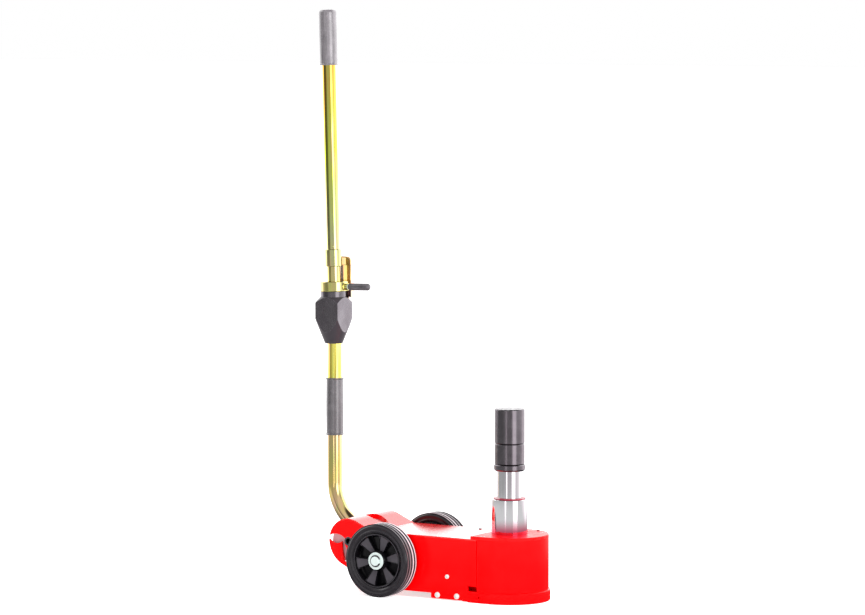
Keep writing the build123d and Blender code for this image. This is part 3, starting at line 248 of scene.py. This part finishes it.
def chromed_steel():
    """Hard chrome, ground round: fine rings, faint vertical rubs, and a painted reflection of the red cap at its
    foot.
    """
    look = Look("chromed_steel", Metallic=1.0)
    rub = look.noise(0.004, detail=4, stretch=(1, 1, 18))
    base = look.mix(rub, (0.70, 0.69, 0.72, 1), (0.82, 0.82, 0.83, 1))
    # painted reflection: red at the ram's foot, fading upwards, stands in for the red cap mirrored there
    painted_cap_reflection = look.levels(look.along("Z"), CAP_REFLECTION_TOP, CAP_REFLECTION_FOOT, 0.0, 0.92)
    look.set("Base Color", look.mix(painted_cap_reflection, base, (0.62, 0.03, 0.12, 1)))
    look.set("Roughness", look.levels(rub, 0.3, 0.75, 0.04, 0.10))
    look.bump(look.noise(0.0012, detail=3, stretch=(40, 40, 1)), 0.000004, 0.4, radius=0.0006)
    return look


def black_oxide():
    """Blackened steel: satin grey-black, turned rings, rubbed edges and light scuffs."""
    look = Look("black_oxide", Metallic=1.0)
    cloud = look.noise(0.016, detail=4)
    base = look.mix(look.levels(cloud, 0.3, 0.7), (0.165, 0.150, 0.165, 1), (0.190, 0.174, 0.190, 1))
    scuff = look.levels(look.noise(0.005, detail=5, stretch=(3, 3, 1), roughness=0.7), 0.66, 0.76, 0.0, 0.4)
    scuffed = look.mix(scuff, base, (0.34, 0.32, 0.34, 1))
    rubbed = look.math("MULTIPLY", look.edges(0.0007), 0.4)
    look.set("Base Color", look.mix(rubbed, scuffed, (0.40, 0.38, 0.40, 1)))
    look.set("Roughness", look.levels(cloud, 0.3, 0.7, 0.18, 0.23))
    look.bump(look.noise(0.0010, detail=2, stretch=(50, 50, 1)), 0.00001, 0.3, radius=0.0006)
    return look


def valve_black():
    """Black anodised valve body: satin flats and finely turned cones."""
    look = Look("valve_black")
    cloud = look.noise(0.03, detail=3)
    base = look.mix(look.levels(cloud, 0.3, 0.7), (0.150, 0.135, 0.150, 1), (0.190, 0.175, 0.192, 1))
    rubbed = look.math("MULTIPLY", look.edges(0.0010), 0.5)
    flat = look.levels(look.math("MAXIMUM", look.facing("X"), look.facing("Y")), 0.97, 0.995)
    toned = look.mix(flat, (0.042, 0.036, 0.043, 1), base)
    look.set("Base Color", look.mix(rubbed, toned, (0.30, 0.27, 0.30, 1)))
    grain = look.levels(look.noise(0.01, detail=4), 0.3, 0.7, -0.04, 0.04)
    look.set("Metallic", look.math("MULTIPLY_ADD", flat, 0.65, 0.25))
    look.set("Roughness", look.math("MULTIPLY_ADD", flat, -0.10, look.math("ADD", grain, 0.36)))
    look.bump(look.noise(0.0006, detail=2), 0.00001, 0.5, radius=0.0008)
    return look


def grip_rubber(name="grip_rubber", tone=1.0):
    """Grey-black moulded rubber with a powdery bloom and long soft drag marks."""
    look = Look(name, IOR=2.1)
    drag = look.noise(0.006, detail=4, stretch=(1, 1, 16))
    bloom = look.noise(0.02, detail=3, shift=5.0)
    tint = (1.0, 0.9, 0.99)
    base = look.mix(look.levels(drag, 0.3, 0.7), grey(0.050 * tone, tint), grey(0.080 * tone, tint))
    look.set("Base Color", look.mix(look.levels(bloom, 0.45, 0.75, 0.0, 0.4), base, grey(0.13 * tone, tint)))
    look.set("Roughness", look.levels(drag, 0.3, 0.7, 0.20, 0.30))
    look.bump(look.noise(0.0009, detail=3), 0.00005, 0.5)
    return look


def tyre_rubber():
    """Solid tyre rubber: near black, with dust rubbed into it, and a painted highlight: rib crowns painted pale,
    paler inboard.
    """
    look = Look("tyre_rubber")
    dust = look.levels(look.noise(0.012, detail=5, roughness=0.65), 0.45, 0.75, 0.0, 0.5)
    base = look.mix(dust, (0.017, 0.015, 0.018, 1), (0.028, 0.025, 0.029, 1))
    # both tyres share this, as they lie the same way from the axle and from the middle plane
    centre, _, radius, _ = wheel_place("right")
    offset = look.add("VectorMath", {0: look.place, 1: centre}, operation="SUBTRACT").outputs[0]
    radial = look.add("VectorMath", {0: offset, 1: (1, 0, 1)}, operation="MULTIPLY").outputs[0]
    reach = look.add("VectorMath", {0: radial}, operation="LENGTH").outputs["Value"]
    # painted highlight: pale rib crowns, paler towards the inboard side, stand in for bright reflections along the
    # tread
    crown = look.levels(reach, radius - 0.7 * MM, radius - 0.1 * MM)
    outboard, inner = abs(centre.y) + 8 * MM, abs(centre.y) - 4 * MM
    painted_highlight_inboard = look.levels(look.math("ABSOLUTE", look.along("Y")), outboard, inner, 0.15, 0.7)
    look.set("Base Color", look.mix(look.math("MULTIPLY", crown, painted_highlight_inboard), base, (0.72, 0.62, 0.66, 1)))
    look.set("Roughness", look.levels(look.noise(0.012, detail=3), 0.3, 0.7, 0.15, 0.21))
    look.bump(look.noise(0.0010, detail=2), 0.00001, 0.4, radius=0.0004)
    return look


def rim_plastic():
    """Glossy black moulded plastic with faint flow marks."""
    look = Look("rim_plastic", IOR=1.36)
    flow = look.noise(0.018, detail=3)
    base = look.mix(flow, (0.0015, 0.0012, 0.002, 1), (0.004, 0.0035, 0.0045, 1))
    # painted reflection: the gently sloping faces, which are the spokes', are painted lighter grey in place of the
    # room they mirror
    facing = look.facing("Y")
    painted_reflection_slope = look.math("MULTIPLY", look.levels(facing, 0.999, 0.993), look.levels(facing, 0.955, 0.97))
    look.set("Base Color", look.mix(painted_reflection_slope, base, (0.055, 0.050, 0.058, 1)))
    look.set("Roughness", look.levels(flow, 0.3, 0.7, 0.10, 0.20))
    look.bump(look.noise(0.0025, detail=2), 0.00003, 0.4)
    return look


def lever_plastic():
    """Black lever grip with a soft gloss and a few rubbed spots."""
    look = Look("lever_plastic")
    rub = look.noise(0.005, detail=5, stretch=(4, 1, 1))
    worn = look.levels(rub, 0.4, 0.75)
    look.set("Base Color", look.mix(worn, (0.055, 0.050, 0.055, 1), (0.11, 0.10, 0.11, 1)))
    look.set("Roughness", look.levels(rub, 0.3, 0.7, 0.26, 0.40))
    look.bump(look.noise(0.0012, detail=2), 0.00004, 0.5)
    return look


def plain_metal(name, dark, light, low_rough, high_rough, stretch=(1, 1, 1)):
    """Machined or cast metal: two tones, uneven polish and fine tool marks."""
    look = Look(name, Metallic=1.0)
    marks = look.noise(0.003, detail=4, stretch=stretch)
    look.set("Base Color", look.mix(marks, (*dark, 1), (*light, 1)))
    look.set("Roughness", look.levels(marks, 0.3, 0.7, low_rough, high_rough))
    look.bump(marks, 0.00004, 0.5)
    return look


def plain_plastic(name, dark, light, rough):
    """Moulded plastic: two close tones and a faint grain."""
    look = Look(name)
    grain = look.noise(0.005, detail=4)
    look.set("Base Color", look.mix(grain, (*dark, 1), (*light, 1)))
    look.set("Roughness", look.levels(grain, 0.3, 0.7, rough - 0.05, rough + 0.05))
    look.bump(grain, 0.00003, 0.4)
    return look


def plain_rubber(name, dark, light):
    """Hose or seal: dull, slightly mottled."""
    look = Look(name)
    mottle = look.noise(0.004, detail=4)
    look.set("Base Color", look.mix(mottle, (*dark, 1), (*light, 1)))
    look.set("Roughness", look.levels(mottle, 0.3, 0.7, 0.5, 0.65))
    look.bump(mottle, 0.00005, 0.4)
    return look


def make_looks():
    """One material for each material slot of the record, and those that SPECIAL names."""
    looks = [
        red_paint(),
        red_paint("red_paint_dull", 0.26, 0.36),
        red_paint("red_paint_dusty", 0.22, 0.30, 1.5, 1.0),
        red_paint("red_paint_hazy", 0.12, 0.18, 1.4, 0.4),
        yellow_zinc(),
        yellow_zinc("yellow_zinc_pink", (0.90, 0.74, 1.6)),
        white_zinc(),
        chromed_steel(),
        black_oxide(),
        valve_black(),
        grip_rubber(),
        # painted light: a lighter copy of the grip rubber for the top grip, which sits nearer the bright light
        grip_rubber("grip_rubber_painted_lit", 1.9),
        tyre_rubber(),
        rim_plastic(),
        lever_plastic(),
        plain_metal("machined_steel", (0.42, 0.40, 0.42), (0.60, 0.58, 0.60), 0.22, 0.40, (1, 1, 6)),
        plain_metal("bronze", (0.55, 0.36, 0.14), (0.72, 0.52, 0.25), 0.22, 0.38),
        plain_metal("cast_aluminium", (0.52, 0.52, 0.53), (0.68, 0.68, 0.69), 0.38, 0.55),
        plain_plastic("pale_nylon", (0.46, 0.25, 0.27), (0.55, 0.32, 0.34), 0.4),
        plain_plastic("wiper_red", (0.26, 0.001, 0.020), (0.38, 0.003, 0.035), 0.3),
        plain_rubber("seal_rubber", (0.012, 0.012, 0.013), (0.035, 0.034, 0.036)),
        plain_rubber("hose_plastic", (0.018, 0.018, 0.022), (0.045, 0.045, 0.052)),
    ]
    return {look.slot: look.material for look in looks}


# nodes and pieces whose finish differs a little from the rest of their slot, or that take a lighter copy of it as
# painted light
SPECIAL = {
    "top_cap": "red_paint_dull",
    "rear_hood": "red_paint_hazy",
    "top_cover": "red_paint_dusty",
    "guard_plate": "yellow_zinc_pink",
    # painted light: the top grip takes the lighter grip rubber copy
    "top_grip_rubber": "grip_rubber_painted_lit",
    "valve_neck": "black_oxide",
}


def dress_cad_nodes(looks):
    """Gives every CAD node the material of its slot."""
    for part in frame["record"]["subparts"]:
        data = frame["nodes"][part["node"]].data
        data.materials.clear()
        data.materials.append(looks[SPECIAL.get(part["node"], part["material_slot"])])


# ---- pieces ----
def new_piece(name, mesh, looks, slot, body, *replaced):
    """Links a mesh as a piece with its material, riding on a CAD body."""
    mesh.materials.append(looks[SPECIAL.get(name, slot)])
    piece = bpy.data.objects.new(name, mesh)
    bpy.context.scene.collection.objects.link(piece)
    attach(piece, body)
    if replaced:
        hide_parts(*replaced)
    return piece


def finished_mesh(name, bm, crease=35):
    """Turns a bmesh into a smooth-shaded mesh that keeps edges sharper than crease degrees."""
    bmesh.ops.remove_doubles(bm, verts=bm.verts, dist=1e-6)
    bmesh.ops.recalc_face_normals(bm, faces=bm.faces)
    mesh = bpy.data.meshes.new(name)
    bm.to_mesh(mesh)
    bm.free()
    mesh.shade_smooth()
    mesh.set_sharp_from_angle(angle=radians(crease))
    return mesh


def turn_outline(bm, outline, origin, axis, segments=160):
    """Revolves a closed outline of (distance along the axis, radius) points about the axis."""
    along = Vector(axis).normalized()
    side = along.orthogonal().normalized()
    across = along.cross(side)
    rings = []
    for step in range(segments):
        angle = 2 * pi * step / segments
        outwards = cos(angle) * side + sin(angle) * across
        rings.append([bm.verts.new(Vector(origin) + a * along + r * outwards) for a, r in outline])
    count = len(outline)
    for step in range(segments):
        ring, following = rings[step], rings[(step + 1) % segments]
        for i in range(count):
            j = (i + 1) % count
            bm.faces.new((ring[i], ring[j], following[j], following[i]))


def arc(centre, radius, start, end, steps):
    """Points on an arc in the outline's plane, angles in degrees from the axis direction."""
    turns = [radians(start + (end - start) * step / steps) for step in range(steps + 1)]
    return [(centre[0] + radius * cos(turn), centre[1] + radius * sin(turn)) for turn in turns]


def wheel_place(side):
    """A wheel's centre, outward direction, radius and half width, from its tyre's box."""
    low, high = (Vector(corner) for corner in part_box(f"{side}_tyre"))
    outward = Vector((0, -1 if side == "right" else 1, 0))
    return (low + high) / 2, outward, (high.z - low.z) / 2, (high.y - low.y) / 2


GROOVES = (-11 * MM, 0.0, 11 * MM)
GROOVE_HALF = 1.3 * MM
GROOVE_DEPTH = 3.4 * MM
RIB_DROP = 2.2 * MM          # how far a rib's edges lie below its crown
RIB_STEPS = 8
SHOULDER_R = 4.5 * MM
STEP_R = 71.5 * MM           # where the side steps in towards the rim
RIM_R = 60 * MM
BEAD_HALF = 17 * MM


def tyre_outline(radius, half):
    """Section of the tyre: ribbed tread, round shoulders, a stepped side and the bead."""
    shoulder = SHOULDER_R
    groove_edges = [g + s * GROOVE_HALF for g in GROOVES for s in (-1, 1)]
    edges = [-half + 0.6 * MM] + groove_edges + [half - 0.6 * MM]
    points = arc((-half + shoulder, radius - RIB_DROP - shoulder), shoulder, 180, 110, 5)
    for low, high in zip(edges[::2], edges[1::2]):
        middle, reach = (low + high) / 2, (high - low) / 2
        for step in range(RIB_STEPS + 1):
            t = -1 + 2 * step / RIB_STEPS
            # an outer rib stops early and gives way to the shoulder
            if abs(middle) > half / 2 and t * middle > 0.45 * abs(middle):
                continue
            points.append((middle + t * reach, radius - RIB_DROP * abs(t) ** 3))
        if high < half - 2 * MM:
            points.append((high + 0.3 * MM, radius - GROOVE_DEPTH))
            points.append((high + 2 * GROOVE_HALF - 0.3 * MM, radius - GROOVE_DEPTH))
    points += arc((half - shoulder, radius - RIB_DROP - shoulder), shoulder, 70, 0, 5)
    wall = [
        (half, STEP_R), (half - 0.7 * MM, 70.4 * MM), (half - 0.9 * MM, 67 * MM),
        (half - 0.2 * MM, 66 * MM), (half - 0.3 * MM, 64.2 * MM), (half - 1.6 * MM, 63 * MM),
        (BEAD_HALF, RIM_R + 0.05 * MM),
    ]
    return points + wall + [(-a, r) for a, r in reversed(wall)]


def make_tyre(side, looks):
    centre, outward, radius, half = wheel_place(side)
    bm = bmesh.new()
    turn_outline(bm, tyre_outline(radius, half), centre, outward, 200)
    mesh = finished_mesh(f"{side}_tyre_ribbed", bm)
    new_piece(f"{side}_tyre_ribbed", mesh, looks, "tyre_rubber", f"{side}_wheel", f"{side}_tyre")


BUSH_R = 13.05 * MM          # clears the bush by a hair
LIP_MID_R = 57.2 * MM        # middle of the rim's rounded lip
LIP_HALF = 2.7 * MM
HUB_R = 22 * MM
WEB_HALF = 2.6 * MM
DISH_R = 52.5 * MM
SPOKES = 6
SPOKE_STEPS = 8              # rows of faces from the hub to the rim
SPOKE_TURN = 10              # degrees from +X to the first spoke's middle
SPOKE_HALF = 14.5            # half angle of a spoke, degrees
SPOKE_FACE_HUB = 8.5 * MM    # how far a spoke's face stands out from the wheel's middle
SPOKE_FACE_TIP = 14.5 * MM
BEAD_H = 1.3 * MM            # raised bead along a spoke's edges


def rim_outline(half):
    """Section of the rim: lips with rounded crowns, the barrel, a thin web and the hub."""
    lip = arc((half - 3.4 * MM, LIP_MID_R), LIP_HALF, 80, -75, 8)
    right = [(BEAD_HALF - 1 * MM, RIM_R)] + lip + [
        (half - 6 * MM, 54 * MM), (WEB_HALF + 1.6 * MM, DISH_R), (WEB_HALF, DISH_R - 1.6 * MM),
        (WEB_HALF, HUB_R + 2 * MM), (WEB_HALF + 2 * MM, HUB_R + 0.4 * MM),
        (half - 1.4 * MM, HUB_R - 0.6 * MM), (half, HUB_R - 2 * MM), (half, BUSH_R),
    ]
    return right + [(-a, r) for a, r in reversed(right)]


def add_spoke(bm, centre, outward, angle, facing):
    """A broad spoke with a raised bead along both edges and a face that dishes towards the hub."""
    radial = Vector((cos(angle), 0, sin(angle)))
    across = Vector((-sin(angle), 0, cos(angle)))
    bead = BEAD_H
    section = [
        (-1, None), (-1, 0.3 * bead), (-0.965, 0.85 * bead), (-0.91, bead), (-0.855, 0.8 * bead),
        (-0.80, 0.12 * bead), (-0.72, 0), (0, 0), (0.72, 0), (0.80, 0.12 * bead), (0.855, 0.8 * bead),
        (0.91, bead), (0.965, 0.85 * bead), (1, 0.3 * bead), (1, None),
    ]
    inner, outer = HUB_R - 1 * MM, DISH_R + 1.2 * MM
    rows = []
    for step in range(SPOKE_STEPS + 1):
        share = step / SPOKE_STEPS
        reach = inner + (outer - inner) * share
        face = SPOKE_FACE_HUB + (SPOKE_FACE_TIP - SPOKE_FACE_HUB) * share
        width = reach * tan(radians(SPOKE_HALF))
        rows.append([
            bm.verts.new(
                centre + radial * reach + across * width * t
                + outward * facing * (1 * MM if rise is None else face + rise)
            )
            for t, rise in section
        ])
    count = len(section)
    for row, following in zip(rows, rows[1:]):
        for i in range(count):
            j = (i + 1) % count
            bm.faces.new((row[i], row[j], following[j], following[i]))
    bm.faces.new(rows[0])
    bm.faces.new(rows[-1])


def make_rim(side, looks):
    centre, outward, _, half = wheel_place(side)
    bm = bmesh.new()
    turn_outline(bm, rim_outline(half), centre, outward, 160)
    for spoke in range(SPOKES):
        angle = radians(SPOKE_TURN + 360 / SPOKES * spoke)
        for facing in (1, -1):
            add_spoke(bm, centre, outward, angle, facing)
    mesh = finished_mesh(f"{side}_rim_spoked", bm)
    new_piece(f"{side}_rim_spoked", mesh, looks, "rim_plastic", f"{side}_wheel", f"{side}_rim")


# the lever turns about the upper tube, so its joint gives the tube's lean
LEVER_JOINT = next(joint for joint in frame["joints"] if joint["name"] == "lever_turn")
LEAN_AXIS = Vector(LEVER_JOINT["axis"]).normalized()
LEAN_ORIGIN = Vector(LEVER_JOINT["pos_m"])
GRIP_WALL = 4 * MM           # rubber over the lower tube
TOP_GRIP_START = 510 * MM    # up the lean, from the lever's joint
TOP_GRIP_R = 20 * MM
TOP_GRIP_BORE = 15.05 * MM   # the upper tube's radius and a hair
TOP_GRIP_EDGE = 7 * MM
SCREW_UP = 111 * MM          # up the lean, from the lever's joint
SCREW_OUT = 15 * MM
SCREW_TURN = radians(30)     # from the right side towards the front
RIVET_X, RIVET_Z = -170 * MM, 69.5 * MM


def make_lower_grip(looks):
    """Rubber sleeve on the lower tube, with turned-out lips and a slight waist."""
    low, high = (Vector(corner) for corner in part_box("lower_grip"))
    middle = (low + high) / 2
    radius, length = (high.x - low.x) / 2, high.z - low.z
    inner = radius - GRIP_WALL
    outline = [
        (0, inner), (0, radius + 0.2 * MM), (1.0 * MM, radius + 0.5 * MM), (2.2 * MM, radius + 0.3 * MM),
    ]
    steps = 24
    for step in range(steps + 1):
        share = step / steps
        waist = 0.9 - 0.25 * sin(pi * share) + 0.10 * sin(9 * share)
        outline.append((3.4 * MM + (length - 6.8 * MM) * share, radius - waist * MM))
    outline += [
        (length - 2.2 * MM, radius + 0.3 * MM), (length - 1.0 * MM, radius + 0.5 * MM),
        (length, radius + 0.2 * MM), (length, inner),
    ]
    bm = bmesh.new()
    turn_outline(bm, outline, (middle.x, middle.y, low.z), (0, 0, 1), 96)
    mesh = finished_mesh("lower_grip_rubber", bm)
    new_piece("lower_grip_rubber", mesh, looks, "grip_rubber", "handle", "lower_grip")


def along_lean(point):
    """How far a point lies up the leaning upper tube, from the lever's joint."""
    return (Vector(point) - LEAN_ORIGIN).dot(LEAN_AXIS)


def make_top_grip(looks):
    """Rubber grip on the handle's end: a thick turned-out lower lip and a domed closed top."""
    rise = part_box("top_grip")[1][2] - LEAN_ORIGIN.z
    top = along_lean((LEAN_ORIGIN.x + LEAN_AXIS.x / LEAN_AXIS.z * rise, 0, LEAN_ORIGIN.z + rise))
    bottom, radius, inner = TOP_GRIP_START, TOP_GRIP_R, TOP_GRIP_BORE
    outline = [(bottom, inner), (bottom, radius - 0.6 * MM)]
    outline += arc((bottom + 1.3 * MM, radius - 0.7 * MM), 1.3 * MM, 180, 20, 6)
    steps = 20
    wall = top - bottom - 12 * MM
    for step in range(steps + 1):
        share = step / steps
        swell = 0.55 - 0.18 * sin(pi * share) + 0.10 * sin(7 * share)
        outline.append((bottom + 4 * MM + wall * share, radius - swell * MM))
    edge, crown = TOP_GRIP_EDGE, radius - 0.6 * MM
    for step in range(1, 9):
        turn = radians(90 - 90 * step / 8)
        outline.append((top - edge + edge * cos(turn) - 0.4 * MM, crown - edge + edge * sin(turn)))
    outline += [(top - 0.1 * MM, 6 * MM), (top, 0), (top - 3.8 * MM, 0), (top - 3.8 * MM, inner)]
    bm = bmesh.new()
    turn_outline(bm, outline, LEAN_ORIGIN, LEAN_AXIS, 96)
    mesh = finished_mesh("top_grip_rubber", bm, 50)
    new_piece("top_grip_rubber", mesh, looks, "grip_rubber", "handle", "top_grip")


def dome_outline(radius, height, sink):
    """Section of a low domed head that sinks a little into what it stands on."""
    outline = [(-sink, 0), (-sink, radius), (0, radius)]
    for step in range(1, 9):
        turn = radians(90 * step / 8)
        outline.append((height * sin(turn), radius * cos(turn)))
    return outline


def make_sleeve_screw(looks):
    """The small set screw above the coupling sleeve."""
    facing = Vector((sin(SCREW_TURN), -cos(SCREW_TURN), 0))
    facing = (facing - facing.dot(LEAN_AXIS) * LEAN_AXIS).normalized()
    base = LEAN_ORIGIN + LEAN_AXIS * SCREW_UP + facing * SCREW_OUT
    bm = bmesh.new()
    turn_outline(bm, dome_outline(2.6 * MM, 1.6 * MM, 1.5 * MM), base, facing, 32)
    new_piece("sleeve_screw", finished_mesh("sleeve_screw", bm), looks, "yellow_zinc", "handle")


def make_plate_rivets(looks):
    """A small painted rivet head on each side plate, behind the pump block."""
    for side, sign in (("right", -1), ("left", 1)):
        low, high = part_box(f"{side}_side_plate")
        face = low[1] if sign < 0 else high[1]
        bm = bmesh.new()
        outline = dome_outline(2.4 * MM, 1.1 * MM, 0.6 * MM)
        turn_outline(bm, outline, (RIVET_X, face, RIVET_Z), (0, sign, 0), 32)
        name = f"{side}_plate_rivet"
        new_piece(name, finished_mesh(name, bm), looks, "red_paint", "chassis")


def make_pieces(looks):
    for side in ("right", "left"):
        make_tyre(side, looks)
        make_rim(side, looks)
    make_lower_grip(looks)
    make_top_grip(looks)
    make_sleeve_screw(looks)
    make_plate_rivets(looks)


# ---- studio ----
# the room's brightness by angle from the camera's side, degrees, right of it positive
ROOM = (
    (-180, 2.2), (-112, 2.0), (-100, 0.14), (-60, 0.10), (-50, 0.24), (-42, 0.50), (18, 0.50),
    (24, 3.0), (48, 3.0), (54, 0.90), (80, 1.10), (98, 1.70), (112, 2.2), (180, 2.2),
)
# the same for the floor far from the jack, which the low parts mirror
LOW_ROOM = (
    (-180, 1.02), (-130, 1.02), (-106, 0.16), (-62, 0.12), (-50, 0.24), (-42, 0.50), (-32, 0.50),
    (-30, 2.2), (-24, 2.2), (-21, 0.50), (18, 0.50), (24, 2.6), (48, 2.6), (54, 0.70),
    (84, 0.90), (104, 1.40), (118, 2.2), (138, 1.6), (165, 1.02), (180, 1.02),
)
# and for the band just below the horizon, which the lower tube mirrors
MID_ROOM = (
    (-180, 2.2), (-112, 2.0), (-98, 0.80), (-80, 0.42), (-56, 0.42), (-46, 0.62), (-30, 0.80),
    (0, 0.95), (18, 1.1), (24, 1.7), (48, 2.0), (60, 2.2), (112, 2.4), (180, 2.2),
)
# the floor's brightness by distance in metres, as polished metal sees it
FLOOR_GLOW = (
    (0.0, 0.06), (0.6, 0.10), (1.0, 0.55), (1.3, 0.78), (1.65, 0.78), (1.85, 0.42), (2.3, 0.42),
    (4.2, 0.36),
)
GLOW_REACH = 4.2
GLOW_LIFT = 0.2 * MM         # above the floor
FLOOR_REACH = 60.0
ROOM_TOP = 3.0               # the ramps hold at most 1, so they are scaled by this
ROOM_TURN = (0, 0, radians(90) - CAMERA_AZIMUTH)    # turns the camera's side to +X
HORIZON = (-0.066, -0.082)   # where the room gives way to the band below it


def room_level(graph, vector, room, tint=(1.0, 1.0, 1.0)):
    """A room's brightness in a direction from the jack."""
    turn = graph.add("Mapping", {"Vector": vector, "Rotation": ROOM_TURN})
    parts = graph.add("SeparateXYZ", {0: turn.outputs[0]})
    angle = graph.math("ARCTAN2", parts.outputs["Y"], parts.outputs["X"])
    share = graph.math("MULTIPLY_ADD", angle, 1 / (2 * pi), 0.5)
    return graph.ramp(share, [(0.5 + side / 360, grey(level / ROOM_TOP, tint)) for side, level in room])


def lit_world():
    """White behind the jack, and a room that only polished surfaces see."""
    world = bpy.data.worlds.new("studio")
    bpy.context.scene.world = world
    world.use_nodes = True
    world.cycles.sampling_method = "NONE"      # so that gloss sees only the room
    world.node_tree.nodes.clear()
    graph = Graph(world.node_tree)
    direction = graph.add("TexCoord").outputs["Generated"]
    up = graph.add("SeparateXYZ", {0: direction}).outputs["Z"]
    below = graph.levels(up, *HORIZON)
    level = graph.mix(below, room_level(graph, direction, ROOM), room_level(graph, direction, MID_ROOM))
    # overhead the room is plainer, and dark straight above
    turn = graph.add("Mapping", {"Vector": direction, "Rotation": ROOM_TURN})
    towards_camera = graph.add("SeparateXYZ", {0: turn.outputs[0]}).outputs["X"]
    high = graph.levels(towards_camera, -0.1, 0.1, 2.2 / ROOM_TOP, 0.7 / ROOM_TOP)
    level = graph.mix(graph.levels(up, 0.15, 0.35), level, high)
    level = graph.mix(graph.levels(up, 0.66, 0.84), level, grey(0.02))
    room = graph.add("Background", {"Color": level, "Strength": ROOM_TOP})
    soft = graph.add("Background", {"Color": grey(1.0), "Strength": 0.95})
    plain = graph.add("Background", {"Color": grey(1.0), "Strength": 1.0})
    path = graph.add("LightPath")
    glossy, direct = path.outputs["Is Glossy Ray"], path.outputs["Is Camera Ray"]
    mixed = graph.add("MixShader", {0: glossy, 1: soft.outputs[0], 2: room.outputs[0]})
    seen = graph.add("MixShader", {0: direct, 1: mixed.outputs[0], 2: plain.outputs[0]})
    graph.add("OutputWorld", {"Surface": seen.outputs[0]})


def area_light(name, place, aim, width, height, watts):
    data = bpy.data.lights.new(name, "AREA")
    data.shape = "RECTANGLE"
    data.size, data.size_y = width, height
    data.energy = watts
    lamp = bpy.data.objects.new(name, data)
    lamp.location = place
    lamp.rotation_euler = (Vector(aim) - Vector(place)).to_track_quat("-Z", "Y").to_euler()
    lamp.visible_glossy = False
    bpy.context.scene.collection.objects.link(lamp)


def ground(name, reach, height, material):
    """A square sheet on the floor, this far from the middle to its edges."""
    mesh = bpy.data.meshes.new(name)
    corners = [(x * reach, y * reach, height) for x, y in ((-1, -1), (1, -1), (1, 1), (-1, 1))]
    mesh.from_pydata(corners, [], [(0, 1, 2, 3)])
    mesh.materials.append(material)
    sheet = bpy.data.objects.new(name, mesh)
    bpy.context.scene.collection.objects.link(sheet)
    return sheet


def glow_material():
    """What polished surfaces see of the floor: dark near the jack, bright further out, then the room."""
    material = bpy.data.materials.new("floor_glow")
    material.use_nodes = True
    material.node_tree.nodes.clear()
    graph = Graph(material.node_tree)
    place = graph.add("TexCoord").outputs["Object"]
    distance = graph.add("VectorMath", {0: place}, operation="LENGTH").outputs["Value"]
    share = graph.math("DIVIDE", distance, GLOW_REACH)
    ring = graph.ramp(share, [(reach / GLOW_REACH, grey(level / ROOM_TOP)) for reach, level in FLOOR_GLOW])
    room = room_level(graph, place, LOW_ROOM, (1.0, 0.93, 0.96))
    room = graph.mix(graph.levels(distance, 0.8, 1.8), grey(0.0), room)
    level = graph.mix(1.0, ring, room, "LIGHTEN")
    glow = graph.add("Emission", {"Color": level, "Strength": ROOM_TOP})
    graph.add("OutputMaterial", {"Surface": glow.outputs[0]})
    return material


def make_studio():
    lit_world()
    area_light("key", (3.4, -0.9, 2.2), (-0.2, 0, 0.5), 1.6, 1.6, 190)
    area_light("top", (-0.2, 0.4, 3.4), (-0.2, 0, 0.4), 2.4, 2.4, 60)
    paper = Look("floor_paper", Roughness=0.9)
    paper.set("Base Color", paper.mix(paper.noise(0.6, detail=2), grey(0.88), grey(0.92)))
    paper.set("Emission Color", grey(1.0))
    paper.set("Emission Strength", 0.6)
    ground("floor", FLOOR_REACH, 0.0, paper.material).visible_glossy = False
    glow = ground("floor_glow", GLOW_REACH, GLOW_LIFT, glow_material())
    for kind in ("camera", "diffuse", "transmission", "shadow"):
        setattr(glow, f"visible_{kind}", False)


make_camera()
make_studio()
looks = make_looks()
dress_cad_nodes(looks)
make_pieces(looks)

scene = bpy.context.scene
scene.view_settings.view_transform = "Standard"
